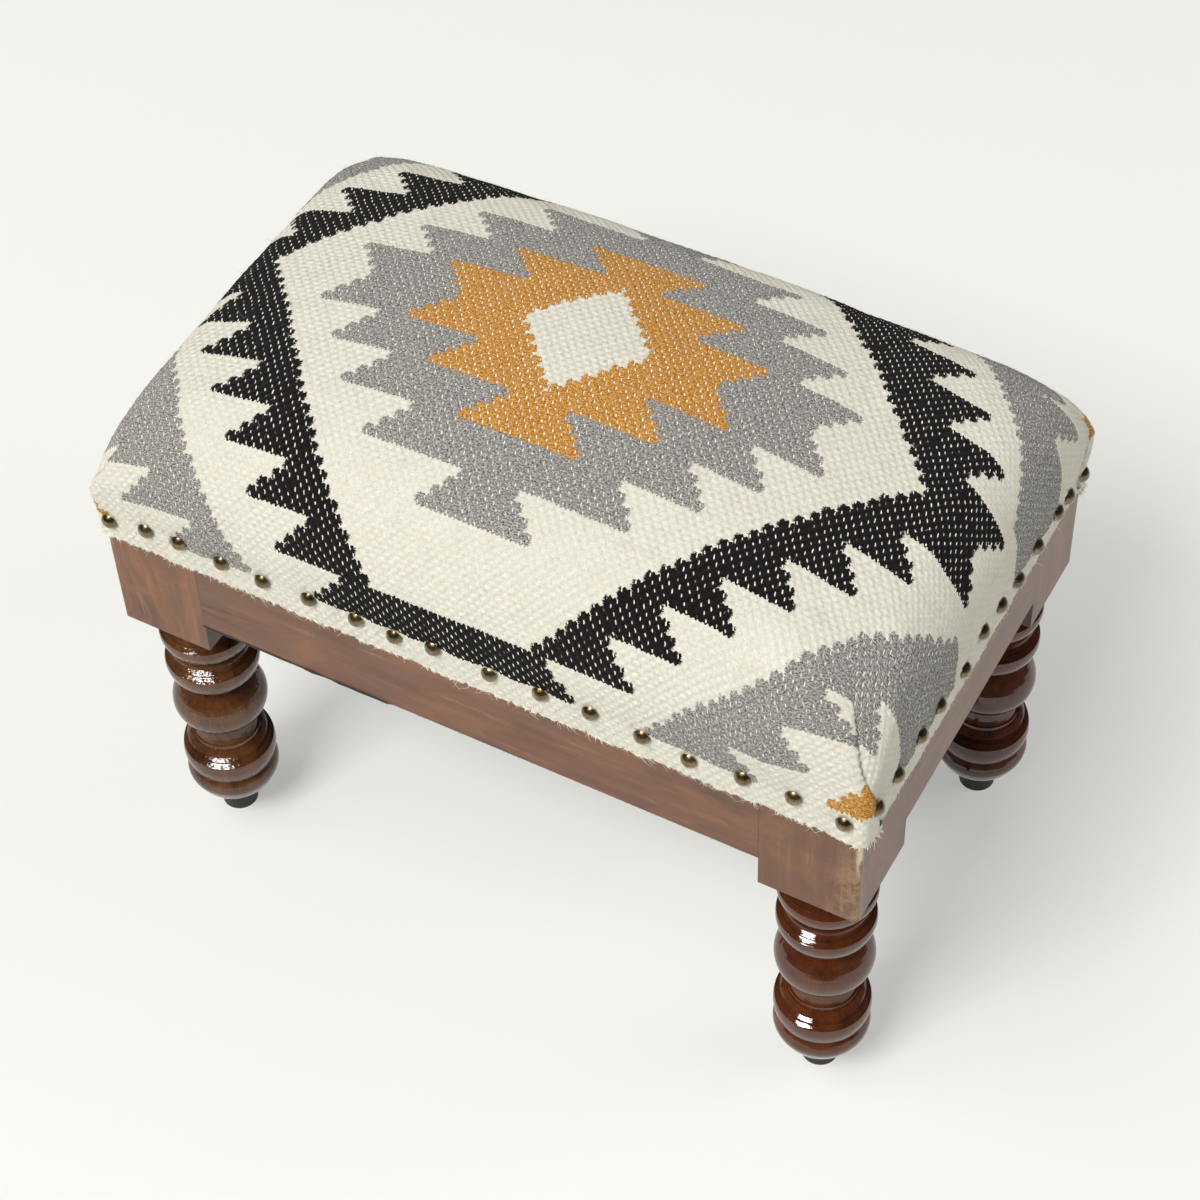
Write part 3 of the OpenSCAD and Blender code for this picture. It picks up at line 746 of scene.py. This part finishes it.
def yarn_height(across, along):
    """Relief of the weave, from -1 to 1, for the woven cover's own mesh."""
    warp, pick = across * 2.0, along * 2.0
    return -math.cos(math.pi * (warp - 0.5)) * math.cos(math.pi * (pick - 0.5))


# The padded seat
SHELL_RINGS = 22
SHELL_SIDES = 120


def new_piece(name, mesh):
    data = bpy.data.meshes.new(name)
    mesh.to_mesh(data)
    mesh.free()
    piece = bpy.data.objects.new(name, data)
    bpy.context.collection.objects.link(piece)
    return piece


def shell_ring(mesh, size, share, height):
    """One ring of a cushion's vertices: a rounded oblong, scaled by a share, at a height."""
    half_l, half_w, corner = [edge * share for edge in size]
    made = []
    for step in range(SHELL_SIDES):
        angle = 2.0 * math.pi * (step + 0.5) / SHELL_SIDES
        c, s = math.cos(angle), math.sin(angle)
        reach = min(half_l / max(abs(c), 1e-6), half_w / max(abs(s), 1e-6))
        x, y = c * reach, s * reach
        over_x, over_y = abs(x) - (half_l - corner), abs(y) - (half_w - corner)
        if over_x > 0.0 and over_y > 0.0:
            length = math.hypot(over_x, over_y)
            x = math.copysign(half_l - corner + over_x * corner / length, x)
            y = math.copysign(half_w - corner + over_y * corner / length, y)
        made.append(mesh.verts.new((x * MM, y * MM, height(x, y) * MM)))
    return made


def cushion_shell(name, deep):
    """A closed cushion, deep millimetres inside the cover's outer face."""
    mesh = bmesh.new()
    loops = []
    bottom = [edge - deep for edge in (HALF_L, HALF_W, HEM_CORNER_R + deep)]
    for share in (0.25, 0.5, 0.75, 1.0):
        loops.append(shell_ring(mesh, bottom, share, lambda x, y: DECK_Z + 0.4))
    for step in range(SHELL_RINGS + 1):
        up = UPRIGHT * step / SHELL_RINGS
        half_l, half_w, corner = seat_outline(up)
        size = (half_l - deep, half_w - deep, max(corner - deep, 0.5))
        loops.append(shell_ring(mesh, size, 1.0, lambda x, y: max(
            seat_height(x, y, up) - deep * math.sin(up), DECK_Z + 0.6)))
    top = [edge - deep for edge in seat_outline(UPRIGHT)]
    for share in (0.8, 0.6, 0.4, 0.2):
        loops.append(shell_ring(mesh, top, share, lambda x, y: seat_height(x, y, UPRIGHT) - deep))
    for lower, upper in zip(loops, loops[1:]):
        for step in range(SHELL_SIDES):
            after = (step + 1) % SHELL_SIDES
            mesh.faces.new((lower[step], lower[after], upper[after], upper[step]))
    mesh.faces.new(reversed(loops[0]))
    mesh.faces.new(loops[-1])
    bmesh.ops.triangulate(mesh, faces=[face for face in mesh.faces if len(face.verts) > 4])
    bmesh.ops.recalc_face_normals(mesh, faces=mesh.faces)
    return new_piece(name, mesh)


def flat_cloth(name, count_x, count_y):
    """A flat grid from -1 to 1 each way, and its mesh to lay out."""
    bpy.ops.object.select_all(action="DESELECT")
    bpy.ops.mesh.primitive_grid_add(x_subdivisions=count_x, y_subdivisions=count_y, size=2.0)
    piece = bpy.context.object
    piece.name = name
    mesh = bmesh.new()
    mesh.from_mesh(piece.data)
    return piece, mesh


def make_active(piece):
    bpy.ops.object.select_all(action="DESELECT")
    piece.select_set(True)
    bpy.context.view_layer.objects.active = piece


def work_in(piece, modifier):
    """Makes a modifier's result the piece's own mesh."""
    make_active(piece)
    bpy.ops.object.modifier_apply(modifier=modifier.name)


NAIL_GAP = 4.0 * MM


def nail_places():
    """The middle of each nail head on the cover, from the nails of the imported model."""
    places = []
    for side in ("front", "back", "left", "right"):
        vertices = [vertex.co.copy() for vertex in nodes["nails_" + side].data.vertices]
        axis = 0 if side in ("front", "back") else 1
        vertices.sort(key=lambda co: co[axis])
        group = [vertices[0]]
        for co in vertices[1:]:
            if co[axis] - group[-1][axis] > NAIL_GAP:
                places.append(sum(group, Vector()) / len(group))
                group = []
            group.append(co)
        places.append(sum(group, Vector()) / len(group))
    return places


PAD_DEEP = 8.4
PAD_GRAIN = 5.0
FOAM_DEEP = 15.2
PAD_RISE = 5.0
SWELL_FRAMES = 20
PAD_CLOTH = {
    "quality": 5,
    "mass": 0.25,
    "tension_stiffness": 22.0,
    "compression_stiffness": 22.0,
    "bending_stiffness": 1.5,
    "use_pressure": True,
    "uniform_pressure_force": 4.0,
    "vertex_group_mass": "held",
}


def swell(pad, nails):
    """Puffs the pad up against the nails that hold the cover, by cloth simulation."""
    before = [vertex.co.copy() for vertex in pad.data.vertices]
    held = pad.vertex_groups.new(name="held")
    near = tree_of(nails)
    for vertex in pad.data.vertices:
        tight = 1.0 - smooth(DECK_Z + 1.0, DECK_Z + 9.0, vertex.co.z / MM)
        close = 1.0 - smooth(17.0, 30.0, near.find(vertex.co)[2] / MM)
        held.add([vertex.index], max(tight, close), "REPLACE")
    cloth = pad.modifiers.new("swell", "CLOTH")
    for setting, value in PAD_CLOTH.items():
        setattr(cloth.settings, setting, value)
    cloth.settings.effector_weights.gravity = 0.0
    cloth.point_cache.frame_start = 1
    cloth.point_cache.frame_end = SWELL_FRAMES
    scene = bpy.context.scene
    for step in range(1, SWELL_FRAMES + 1):
        scene.frame_set(step)
    work_in(pad, cloth)
    scene.frame_set(1)
    moves = []
    for vertex, start in zip(pad.data.vertices, before):
        move = vertex.co - start
        if move.length > PAD_RISE * MM:
            move = move.normalized() * PAD_RISE * MM
            vertex.co = start + move
        moves.append((start, move))
    return moves


def seat_pad(nails):
    pad = cushion_shell("seat_wadding_pad", PAD_DEEP)
    make_active(pad)
    pad.data.remesh_voxel_size = PAD_GRAIN * MM
    bpy.ops.object.voxel_remesh()
    moves = swell(pad, nails)
    finer = pad.modifiers.new("finer", "SUBSURF")
    finer.levels = 1
    finer.render_levels = 1
    work_in(pad, finer)
    bpy.ops.object.shade_smooth()
    return pad, moves


class Swelling:
    """How far the simulated pad rose near a place, above or below its usual rise."""

    NEIGHBOURS = 5
    MOST = 0.9 * MM

    def __init__(self, moves):
        self.moves = moves
        self.tree = tree_of([start for start, _ in moves])
        rises = sorted(move.length for _, move in moves)
        self.usual = rises[len(rises) // 2] if rises else 0.0

    def at(self, place, normal):
        if not self.moves:
            return 0.0
        total, share = 0.0, 0.0
        for _, index, distance in self.tree.find_n(place, self.NEIGHBOURS):
            weight = 1.0 / (distance + MM)
            total += weight * self.moves[index][1].dot(normal)
            share += weight
        return min(max((total / share - self.usual) * 0.5, -self.MOST), self.MOST)


# The woven cover
FACES_A_STITCH_L = 3.0
FACES_A_STITCH_W = 4.0
YARN_RELIEF = 0.42
NAIL_DIMPLE = 1.3
FOLD_DEPTH = 3.2
FOLD_LIP = 1.3
HEM_CLIMB = 1.3
HEM_DROPS = {(True, False): 2.6, (True, True): 6.5, (False, False): 0.0, (False, True): 3.0}
CORNER_REACH = 34.0
HEM_JITTER = 0.9
HEM_TURNS = ((COVER_T * 0.45, -0.3), (COVER_T * 0.45, 0.9), (0.0, 3.2))
NAIL_DIMPLE_R = 7.5
LIP_FROM_FOLD = 3.6
LIP_WIDTH = 2.8
SWAYS = ((0.9, 22.0), (0.35, 70.0))
HEM_WAVES = ((0.9, 55.0, 0.0), (0.63, 170.0, 0.3))
HEM_BAND = 0.5


def in_quarter(place, u, v):
    """A place worked out for the cloth's first quarter, moved to the quarter of a cloth point."""
    return place * Vector((math.copysign(1.0, u), math.copysign(1.0, v), 1.0)) * MM


def outward(seat, u, v):
    """The way straight out of the cushion at a point of the hem."""
    if abs(u) > seat.half_u - HEM_BAND:
        return Vector((math.copysign(1.0, u), 0.0, 0.0))
    return Vector((0.0, math.copysign(1.0, v), 0.0))


def cover_cloth(nails, swelling):
    """The kilim cover: a flat grid of cloth, laid over the cushion and folded at each corner."""
    seat = Seat()
    count_u = 2 * round(seat.half_u * FACES_A_STITCH_L / STITCH_L)
    count_v = 2 * round(seat.half_v * FACES_A_STITCH_W / STITCH_W)
    cover, mesh = flat_cloth("kilim_cover_cloth", count_u, count_v)
    cloth, flap, depth = {}, {}, {}
    for vert in mesh.verts:
        u, v = vert.co.x * seat.half_u, vert.co.y * seat.half_v
        place, flap[vert] = seat.lay(abs(u), abs(v))
        depth[vert] = 0.0
        if place is not None:
            cloth[vert] = (u, v)
            vert.co = in_quarter(place, u, v)
    gone = [face for face in mesh.faces if all(flap[vert] == "hidden" for vert in face.verts)]
    bmesh.ops.delete(mesh, geom=gone, context="FACES")
    apex = seat.apex[2]
    snapped = [vert for vert in mesh.verts if flap[vert] == "hidden"]
    for vert in snapped:
        u, v = vert.co.x * seat.half_u, vert.co.y * seat.half_v
        around = [flap[other] for face in vert.link_faces for other in face.verts]
        in_front = around.count("front") >= around.count("side")
        end = seat.end_front if in_front else seat.end_side
        last_u, last_v, place = end(abs(u), abs(v))
        cloth[vert] = (math.copysign(last_u, u), math.copysign(last_v, v))
        depth[vert] = smooth(apex - 4.0, apex - 34.0, place.z) * (1.0 if in_front else 0.8)
        vert.co = in_quarter(place, u, v)
    bmesh.ops.remove_doubles(mesh, verts=snapped, dist=0.1 * MM)
    shape_cover(mesh, seat, cloth, depth, nails, swelling)
    mesh.verts.index_update()
    woven = {face: index for index, face in enumerate(mesh.faces)}
    cut = turn_hem(mesh, cloth, seat)
    mesh.faces.sort(key=lambda face: woven[face] if face in woven else after_woven(face))
    weave = mesh.loops.layers.uv.new("weave")
    for face in mesh.faces:
        face.smooth = True
        for loop in face.loops:
            loop[weave].uv = stitches(*cloth[loop.vert])
    for name in [layer.name for layer in mesh.loops.layers.uv if layer.name != "weave"]:
        mesh.loops.layers.uv.remove(mesh.loops.layers.uv[name])
    mesh.to_mesh(cover.data)
    mesh.free()
    return cover, cut, seat


AFTER_WOVEN = 1e7


def after_woven(face):
    """A hem face's place in the order of faces, so that it is the same on every run."""
    middle = face.calc_center_median()
    return AFTER_WOVEN + math.atan2(middle.y, middle.x) + middle.z


def hem_level(x, y):
    """How far the cut edge lies above its usual height: it climbs to the left and dips at corners."""
    level = HEM_CLIMB * smooth(20.0, -190.0, x) * smooth(40.0, -60.0, y)
    corner = smooth(HALF_L - CORNER_REACH, HALF_L - 2.0, abs(x))
    corner *= smooth(HALF_W - CORNER_REACH, HALF_W - 2.0, abs(y))
    return level - HEM_DROPS[(x > 0.0, y > 0.0)] * corner ** 3


def shape_cover(mesh, seat, cloth, depth, nails, swelling):
    """Moves the laid cloth in and out: yarn relief, the pad's swelling, nail dimples and folds."""
    mesh.normal_update()
    near_nail = tree_of(nails)
    near_fold = tree_of([vert.co for vert in mesh.verts if depth[vert] > 0.0])
    apex = seat.apex[2]
    (broad, slow), (fine, quick) = SWAYS
    moves = {}
    for vert in mesh.verts:
        u, v = cloth[vert]
        across, along = stitches(u, v)
        normal = vert.normal
        loose = smooth(SKIRT_Z + 2.0, SKIRT_Z + 26.0, vert.co.z / MM)
        rise = YARN_RELIEF * yarn_height(across, along) * (0.75 + 0.25 * loose)
        rise += broad * loose * noise.noise(vert.co * slow) + fine * noise.noise(vert.co * quick)
        rise -= NAIL_DIMPLE * math.exp(-(near_nail.find(vert.co)[2] / (NAIL_DIMPLE_R * MM)) ** 2)
        rise += loose * swelling.at(vert.co, normal) / MM
        distance = near_fold.find(vert.co)[2] / MM
        below = smooth(apex - 10.0, apex - 45.0, vert.co.z / MM)
        lip = math.exp(-((distance - LIP_FROM_FOLD) / LIP_WIDTH) ** 2) * below
        in_front = abs(v) - seat.apex[1] > abs(u) - seat.apex[0]
        rise += (FOLD_LIP if in_front else -0.4) * lip
        rise -= FOLD_DEPTH * depth[vert]
        moves[vert] = normal * (rise * MM)
    for vert, move in moves.items():
        vert.co += move
    for vert in mesh.verts:
        z = vert.co.z / MM
        low = 1.0 - smooth(SKIRT_Z - 1.0, SKIRT_Z + 16.0, z)
        if low <= 0.0:
            continue
        wave = 0.0
        for height, often, layer in HEM_WAVES:
            wave += height * noise.noise(Vector((vert.co.x, vert.co.y, layer)) * often)
        vert.co.z += low * (wave + hem_level(vert.co.x / MM, vert.co.y / MM)) * MM


def turn_hem(mesh, cloth, seat):
    """Gives the cut edge its thickness: the cloth's lower edge turned in, and up behind itself."""
    def at_hem(vert):
        u, v = cloth[vert]
        return abs(u) > seat.half_u - HEM_BAND or abs(v) > seat.half_v - HEM_BAND

    rim = [edge for edge in mesh.edges if edge.is_boundary and all(at_hem(vert) for vert in edge.verts)]
    for edge in rim:
        edge.smooth = False
    cut = []
    for vert in sorted({vert for edge in rim for vert in edge.verts}, key=lambda vert: vert.index):
        vert.co.z += random.uniform(-HEM_JITTER, HEM_JITTER) * MM
        cut.append((vert.co.copy(), outward(seat, *cloth[vert])))
    for inward, upward in HEM_TURNS:
        made = bmesh.ops.extrude_edge_only(mesh, edges=rim)
        fresh = {item for item in made["geom"] if isinstance(item, bmesh.types.BMVert)}
        edges = [item for item in made["geom"] if isinstance(item, bmesh.types.BMEdge) and item.is_boundary]
        rim = [edge for edge in edges if fresh.issuperset(edge.verts)]
        for vert in fresh:
            others = [edge.other_vert(vert) for edge in vert.link_edges]
            cloth[vert] = cloth[[other for other in others if other not in fresh][0]]
            vert.co += (outward(seat, *cloth[vert]) * -inward + Vector((0.0, 0.0, upward))) * MM
    return cut


# Loose fibres
STRAND_SIDES = 3
STRAND_PARTS = 3
STRAND_TAPER = 0.7


def strand(mesh, root, direction, bend, length, thick, weave=None, stitch=None):
    """One loose fibre: a thin curved tube that tapers to its tip."""
    rings = []
    direction = direction.normalized()
    across = direction.orthogonal().normalized()
    other = direction.cross(across)
    for part in range(STRAND_PARTS + 1):
        share = part / STRAND_PARTS
        middle = root + direction * (length * share) + bend * (length * share * share)
        width = thick * (1.0 - STRAND_TAPER * share)
        rings.append([
            mesh.verts.new(middle + (across * math.cos(turn) + other * math.sin(turn)) * width)
            for turn in [2.0 * math.pi * side / STRAND_SIDES for side in range(STRAND_SIDES)]
        ])
    faces = [mesh.faces.new(rings[-1]), mesh.faces.new(list(reversed(rings[0])))]
    for lower, upper in zip(rings, rings[1:]):
        for side in range(STRAND_SIDES):
            after = (side + 1) % STRAND_SIDES
            faces.append(mesh.faces.new((lower[side], lower[after], upper[after], upper[side])))
    for face in faces:
        face.smooth = True
        if weave is not None:
            for loop in face.loops:
                loop[weave].uv = stitch


FUZZ_COUNT = 6000
FUZZ_LEAST_FACE = 0.8 * MM * MM
FUZZ_LOWEST = SKIRT_Z + 3.0
FUZZ_REACH = (1.4, 3.9)
FUZZ_THICK = 0.065
STRAY_SHARE = 0.02
FRAY_COUNT = 760
FRAY_THICK = (0.10, 0.17)
TUFT_COUNT = 3000
TUFT_REACH = (1.1, 2.8)
TUFT_THICK = (0.18, 0.36)


def wool_fuzz(cover):
    """Short hairs that stand off the wool, each in the colour of the stitch it grows from."""
    mesh = bmesh.new()
    weave = mesh.loops.layers.uv.new("weave")
    data = cover.data
    uv = data.uv_layers["weave"].data
    polygons = data.polygons
    for _ in range(FUZZ_COUNT):
        face = polygons[random.randrange(len(polygons))]
        if face.area < FUZZ_LEAST_FACE or face.center.z < FUZZ_LOWEST * MM:
            continue
        normal = face.normal
        loop = face.loop_start
        swing = Vector([random.uniform(-1.0, 1.0) for _ in range(3)])
        flat = (swing - normal * swing.dot(normal)).normalized()
        lean = random.uniform(0.25, 0.95)
        direction = flat * lean + normal * (1.05 - lean)
        length = random.uniform(*FUZZ_REACH) * MM
        bend = flat * random.uniform(-0.2, 0.5) - normal * random.uniform(0.1, 0.55)
        root = face.center - normal * (0.2 * MM)
        if random.random() < STRAY_SHARE:
            loop = random.randrange(len(uv))
        strand(mesh, root, direction, bend, length, FUZZ_THICK * MM, weave, uv[loop].uv.copy())
    return new_piece("wool_fuzz", mesh)


def frayed_hem(cut_edge):
    """Cut ends of warp and weft at the hem: short thick tufts, and longer hairs over the wood."""
    mesh = bmesh.new()
    for count in range(FRAY_COUNT + TUFT_COUNT):
        place, out = cut_edge[random.randrange(len(cut_edge))]
        along = Vector((-out.y, out.x, 0.0))
        root = place - out * (random.uniform(0.2, 1.2) * MM) + along * (random.uniform(-0.8, 0.8) * MM)
        root.z += random.uniform(0.1, 0.8) * MM
        direction = Vector((0.0, 0.0, -1.0)) + along * random.uniform(-1.0, 1.0)
        direction += out * random.uniform(0.0, 0.6)
        bend = along * random.uniform(-0.7, 0.7) - out * random.uniform(0.0, 0.4)
        length = (2.2 + 5.0 * random.random() ** 2) * MM
        thick = random.uniform(*FRAY_THICK) * MM
        if count >= FRAY_COUNT:
            length = random.uniform(*TUFT_REACH) * MM
            thick = random.uniform(*TUFT_THICK) * MM
        strand(mesh, root, direction, bend, length, thick)
    return new_piece("frayed_hem", mesh)


# The cloth under the frame
DUST_FACES = (76, 48)
DUST_SAG = 0.9
THREAD_COUNT = 260
THREAD_THICK = 0.1
PEEPING = 0.5
KEPT_BACK = 1.2


def under_cloth():
    """Black cloth stapled under the rails, with its raw edge frayed."""
    low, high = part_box("dust_cover")
    cloth, mesh = flat_cloth("dust_cover_cloth", *DUST_FACES)
    middle, half = (low + high) / 2.0, (high - low) / 2.0
    block_low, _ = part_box("corner_block_back_right")
    block_x, block_y = block_low.x - 0.5 * MM, block_low.y - 0.5 * MM
    for vert in mesh.verts:
        x, y = vert.co.x, vert.co.y
        sag = (1.0 - x ** 4) * (1.0 - y ** 4)
        ripple = noise.noise(Vector((x * 3.0, y * 2.2, 0.0))) * 0.5
        edge = 1.0 + 0.004 * noise.noise(Vector((x * 30.0, y * 30.0, 1.0)))
        vert.co = Vector((
            middle.x + half.x * x * edge,
            middle.y + half.y * y * edge,
            high.z - 0.12 * MM + sag * (ripple - 0.6) * DUST_SAG * MM,
        ))
        ragged = 0.9 * noise.noise(vert.co * 260.0)
        if abs(x) > 0.999:
            vert.co.x = math.copysign((FRAME_HALF_L - 0.8 + ragged) * MM, x)
        if abs(y) > 0.999:
            vert.co.y = math.copysign((FRAME_HALF_W + peeping(vert.co) + ragged) * MM, y)
    corners = [
        face for face in mesh.faces
        if abs(face.calc_center_median().x) > block_x and abs(face.calc_center_median().y) > block_y
    ]
    bmesh.ops.delete(mesh, geom=corners, context="FACES")
    mesh.to_mesh(cloth.data)
    mesh.free()
    thick = cloth.modifiers.new("thickness", "SOLIDIFY")
    thick.thickness = (high.z - low.z) * 0.8
    thick.offset = -1.0
    work_in(cloth, thick)
    bpy.ops.object.shade_smooth_by_angle(angle=math.radians(40.0))
    return cloth


def peeping(place):
    """How far the cut cloth stands out past the rail: only the left part of the front shows it."""
    shown = smooth(-38.0, -52.0, place.x / MM) if place.y < 0.0 else 0.0
    return PEEPING * shown - KEPT_BACK * (1.0 - shown)


def under_cloth_threads():
    """Short black threads that stand out of the cut edge under the rails."""
    mesh = bmesh.new()
    _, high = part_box("dust_cover")
    reach = FRAME_HALF_L - BLOCK_W - 4.0
    for _ in range(THREAD_COUNT):
        out = Vector((0.0, math.copysign(1.0, random.random() - 0.65), 0.0))
        root = Vector((random.uniform(-reach, reach), out.y * (FRAME_HALF_W - 0.4), 0.0))
        along = Vector((-out.y, out.x, 0.0))
        direction = out * random.uniform(0.1, 1.0) + along * random.uniform(-1.0, 1.0)
        direction += Vector((0.0, 0.0, random.uniform(-0.8, 0.1)))
        root = root * MM + Vector((0.0, 0.0, high.z - 0.4 * MM))
        length = (0.8 + 2.2 * random.random() ** 2) * MM * (1.0 if peeping(root) > 0.0 else 0.4)
        strand(mesh, root, direction, along * random.uniform(-0.5, 0.5), length, THREAD_THICK * MM)
    return new_piece("dust_cover_threads", mesh)


# Floor, light and camera
FLOOR_GLOW = 0.42
FLOOR_MIRRORED = 0.48
SKY_LOW = 0.34
SKY_TOP = 0.14
SKY_MIRRORED = 0.4
SKY_FADE = (0.15, 0.70)
LAMP_AIM = Vector((0.0, 0.0, 0.2))
LAMPS = (
    ("key_light", (-0.57, -3.35, 4.43), (2.2, 1.8), 290.0, (1.0, 0.98, 0.95), "diffuse"),
    ("key_mirrored", (-0.70, -1.25, 4.05), (0.95, 0.75), 170.0, (1.0, 0.99, 0.97), "glossy"),
    ("top_fill", (-1.45, -1.35, 3.80), (2.4, 1.6), 56.0, (1.0, 0.99, 0.97), "diffuse"),
    ("back_fill", (2.7, 1.2, 1.9), (2.2, 2.0), 38.0, (1.0, 0.98, 0.96), "diffuse"),
)


def dim_overhead(tree):
    """A studio sky that is bright round the horizon, dim overhead and dimmer in reflections."""
    sky = NodeTree(tree)
    _, _, up = sky.split(sky.node("ShaderNodeTexCoord").outputs["Generated"])
    fade = up.between(*SKY_FADE) * (SKY_TOP - SKY_LOW) + SKY_LOW
    mirrored = sky.seen_by("Is Glossy Ray") * (SKY_MIRRORED - 1.0) + 1.0
    background = tree.nodes["Background"]
    sky.feed(background.inputs["Strength"], fade * mirrored)
    sky.feed(background.inputs["Color"], (0.95, 0.97, 1.0, 1.0))


def studio():
    """A pale floor that keeps its shadows, the lamps and a dim sky."""
    f = Finish("studio_floor", specular_ior_level=0.0)
    tint = f.cloud(f.place(), 0.6, 1.0, 0.4)
    pale = f.mix(tint, (239, 240, 235), (242, 241, 238))
    lit = f.mix(tint, (226, 227, 222), (229, 228, 225))
    f.finish(base_color=lit, roughness=0.95)
    glow = f.node("ShaderNodeEmission", sockets={"Color": pale, "Strength": 1.0})
    seen = f.seen_by("Is Camera Ray") * FLOOR_GLOW
    share = (seen + f.seen_by("Is Glossy Ray") * FLOOR_MIRRORED).clamp()
    blend = f.node("ShaderNodeMixShader", sockets=[share, f.surface.outputs[0], glow.outputs[0]])
    out = f.tree.nodes["Material Output"]
    f.tree.links.new(blend.outputs[0], out.inputs["Surface"])
    bpy.ops.object.select_all(action="DESELECT")
    bpy.ops.mesh.primitive_plane_add(size=30.0)
    floor = bpy.context.object
    floor.name = "studio_floor"
    floor.data.materials.append(f.material)
    world = bpy.data.worlds.new("studio")
    bpy.context.scene.world = world
    world.use_nodes = True
    dim_overhead(world.node_tree)
    for name, place, size, power, warmth, kind in LAMPS:
        light = bpy.data.lights.new(name, "AREA")
        light.shape = "RECTANGLE"
        light.size, light.size_y = size
        light.energy = power
        light.color = warmth
        lamp = bpy.data.objects.new(name, light)
        lamp.location = place
        lamp.visible_glossy = kind == "glossy"
        lamp.visible_diffuse = kind == "diffuse"
        lamp.rotation_euler = (LAMP_AIM - Vector(place)).to_track_quat("-Z", "Y").to_euler()
        bpy.context.collection.objects.link(lamp)


CAMERA_PLACE = (0.5022, -0.8492, 1.3055)
CAMERA_TURN = (40.60, 1.689, 28.617)
CAMERA_LENS = 89.8


def photo_camera():
    data = bpy.data.cameras.new("photo_camera")
    data.lens = CAMERA_LENS
    data.sensor_width = 36.0
    data.clip_start = 0.05
    data.clip_end = 60.0
    camera = bpy.data.objects.new("photo_camera", data)
    camera.location = CAMERA_PLACE
    camera.rotation_euler = [math.radians(angle) for angle in CAMERA_TURN]
    bpy.context.collection.objects.link(camera)
    bpy.context.scene.camera = camera


# The whole object
def dress(node, material):
    piece = nodes[node]
    piece.data.materials.clear()
    piece.data.materials.append(material)


def dress_all():
    """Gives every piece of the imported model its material."""
    rail_wood = {
        "front": frame_wood("frame_wood_long", 0),
        "right": frame_wood("frame_wood_short", 1),
    }
    rail_wood["back"], rail_wood["left"] = rail_wood["front"], rail_wood["right"]
    block = frame_wood("frame_wood_upright", 2)
    block_wood = {
        "front_left": frame_wood("frame_wood_upright_tan", 2, tone=1.14, swirl=1.6),
        "front_right": frame_wood("frame_wood_upright_scuffed", 2, tone=0.97, swirl=0.8, scuffed=True),
    }
    lacquer = leg_wood("leg_lacquer", 0.02, RED_BROWNS)
    rough_lacquer = {"front_left": leg_wood("leg_lacquer_orange_peel", 0.36, OLIVE_BROWNS)}
    zinc = speckled(
        "zinc_plated_steel", (150, 150, 148), (200, 200, 196), 700.0, (0.3, 0.2), 0.0001, metallic=1.0)
    brass, rubber = antique_brass(), foot_rubber()
    for corner in ("front_left", "front_right", "back_left", "back_right"):
        dress("corner_block_" + corner, block_wood.get(corner, block))
        dress("leg_" + corner, rough_lacquer.get(corner, lacquer))
        dress("foot_" + corner, rubber)
    for side, wood in rail_wood.items():
        dress("rail_" + side, wood)
        dress("nails_" + side, brass)
    for node in ("foot_screws", "hanger_bolts", "deck_screws", "dust_cover_staples"):
        dress(node, zinc)
    dress("threaded_inserts", speckled(
        "insert_brass", (150, 120, 60), (206, 172, 100), 700.0, (0.28, 0.2), 0.0001, metallic=1.0))
    dress("rail_dowels", speckled(
        "beech_dowel", (190, 150, 108), (214, 178, 138), 300.0, (0.55, 0.2), 0.0002, 3.0))
    dress("seat_deck", plywood())


photo_camera()
studio()
dress_all()
nails = nail_places()
pad, moves = seat_pad(nails)
foam = cushion_shell("seat_foam_block", FOAM_DEEP)
make_active(foam)
bpy.ops.object.shade_smooth()
cover, cut_edge, seat = cover_cloth(nails, Swelling(moves))
fuzz = wool_fuzz(cover)
fray = frayed_hem(cut_edge)
dust = under_cloth()
threads = under_cloth_threads()

wool = kilim_wool()
fibre = speckled(
    "loose_warp_fibre", (214, 204, 178), (246, 241, 226), 90.0, (0.85, -0.1), detail=3.0, sheen_weight=0.3)
wadding = speckled(
    "polyester_wadding", (226, 226, 222), (246, 246, 244), 320.0, (0.85, 0.1), 0.0008, 5.0, 0.7)
foam_stuff = speckled("seat_foam", (214, 196, 132), (234, 220, 168), 900.0, (0.85, 0.1), 0.0008, 5.0, 0.7)
black_cloth = dust_cloth()
for piece, material in (
    (pad, wadding), (foam, foam_stuff), (cover, wool), (fuzz, wool), (fray, fibre),
    (dust, black_cloth), (threads, black_cloth),
):
    piece.data.materials.append(material)

for piece in (pad, foam, cover, fuzz, fray, dust, threads):
    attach(piece, "root")
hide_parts("kilim_cover")
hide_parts("wadding")
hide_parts("foam_pad")
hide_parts("dust_cover")

scene_view = bpy.context.scene.view_settings
scene_view.view_transform = "Standard"
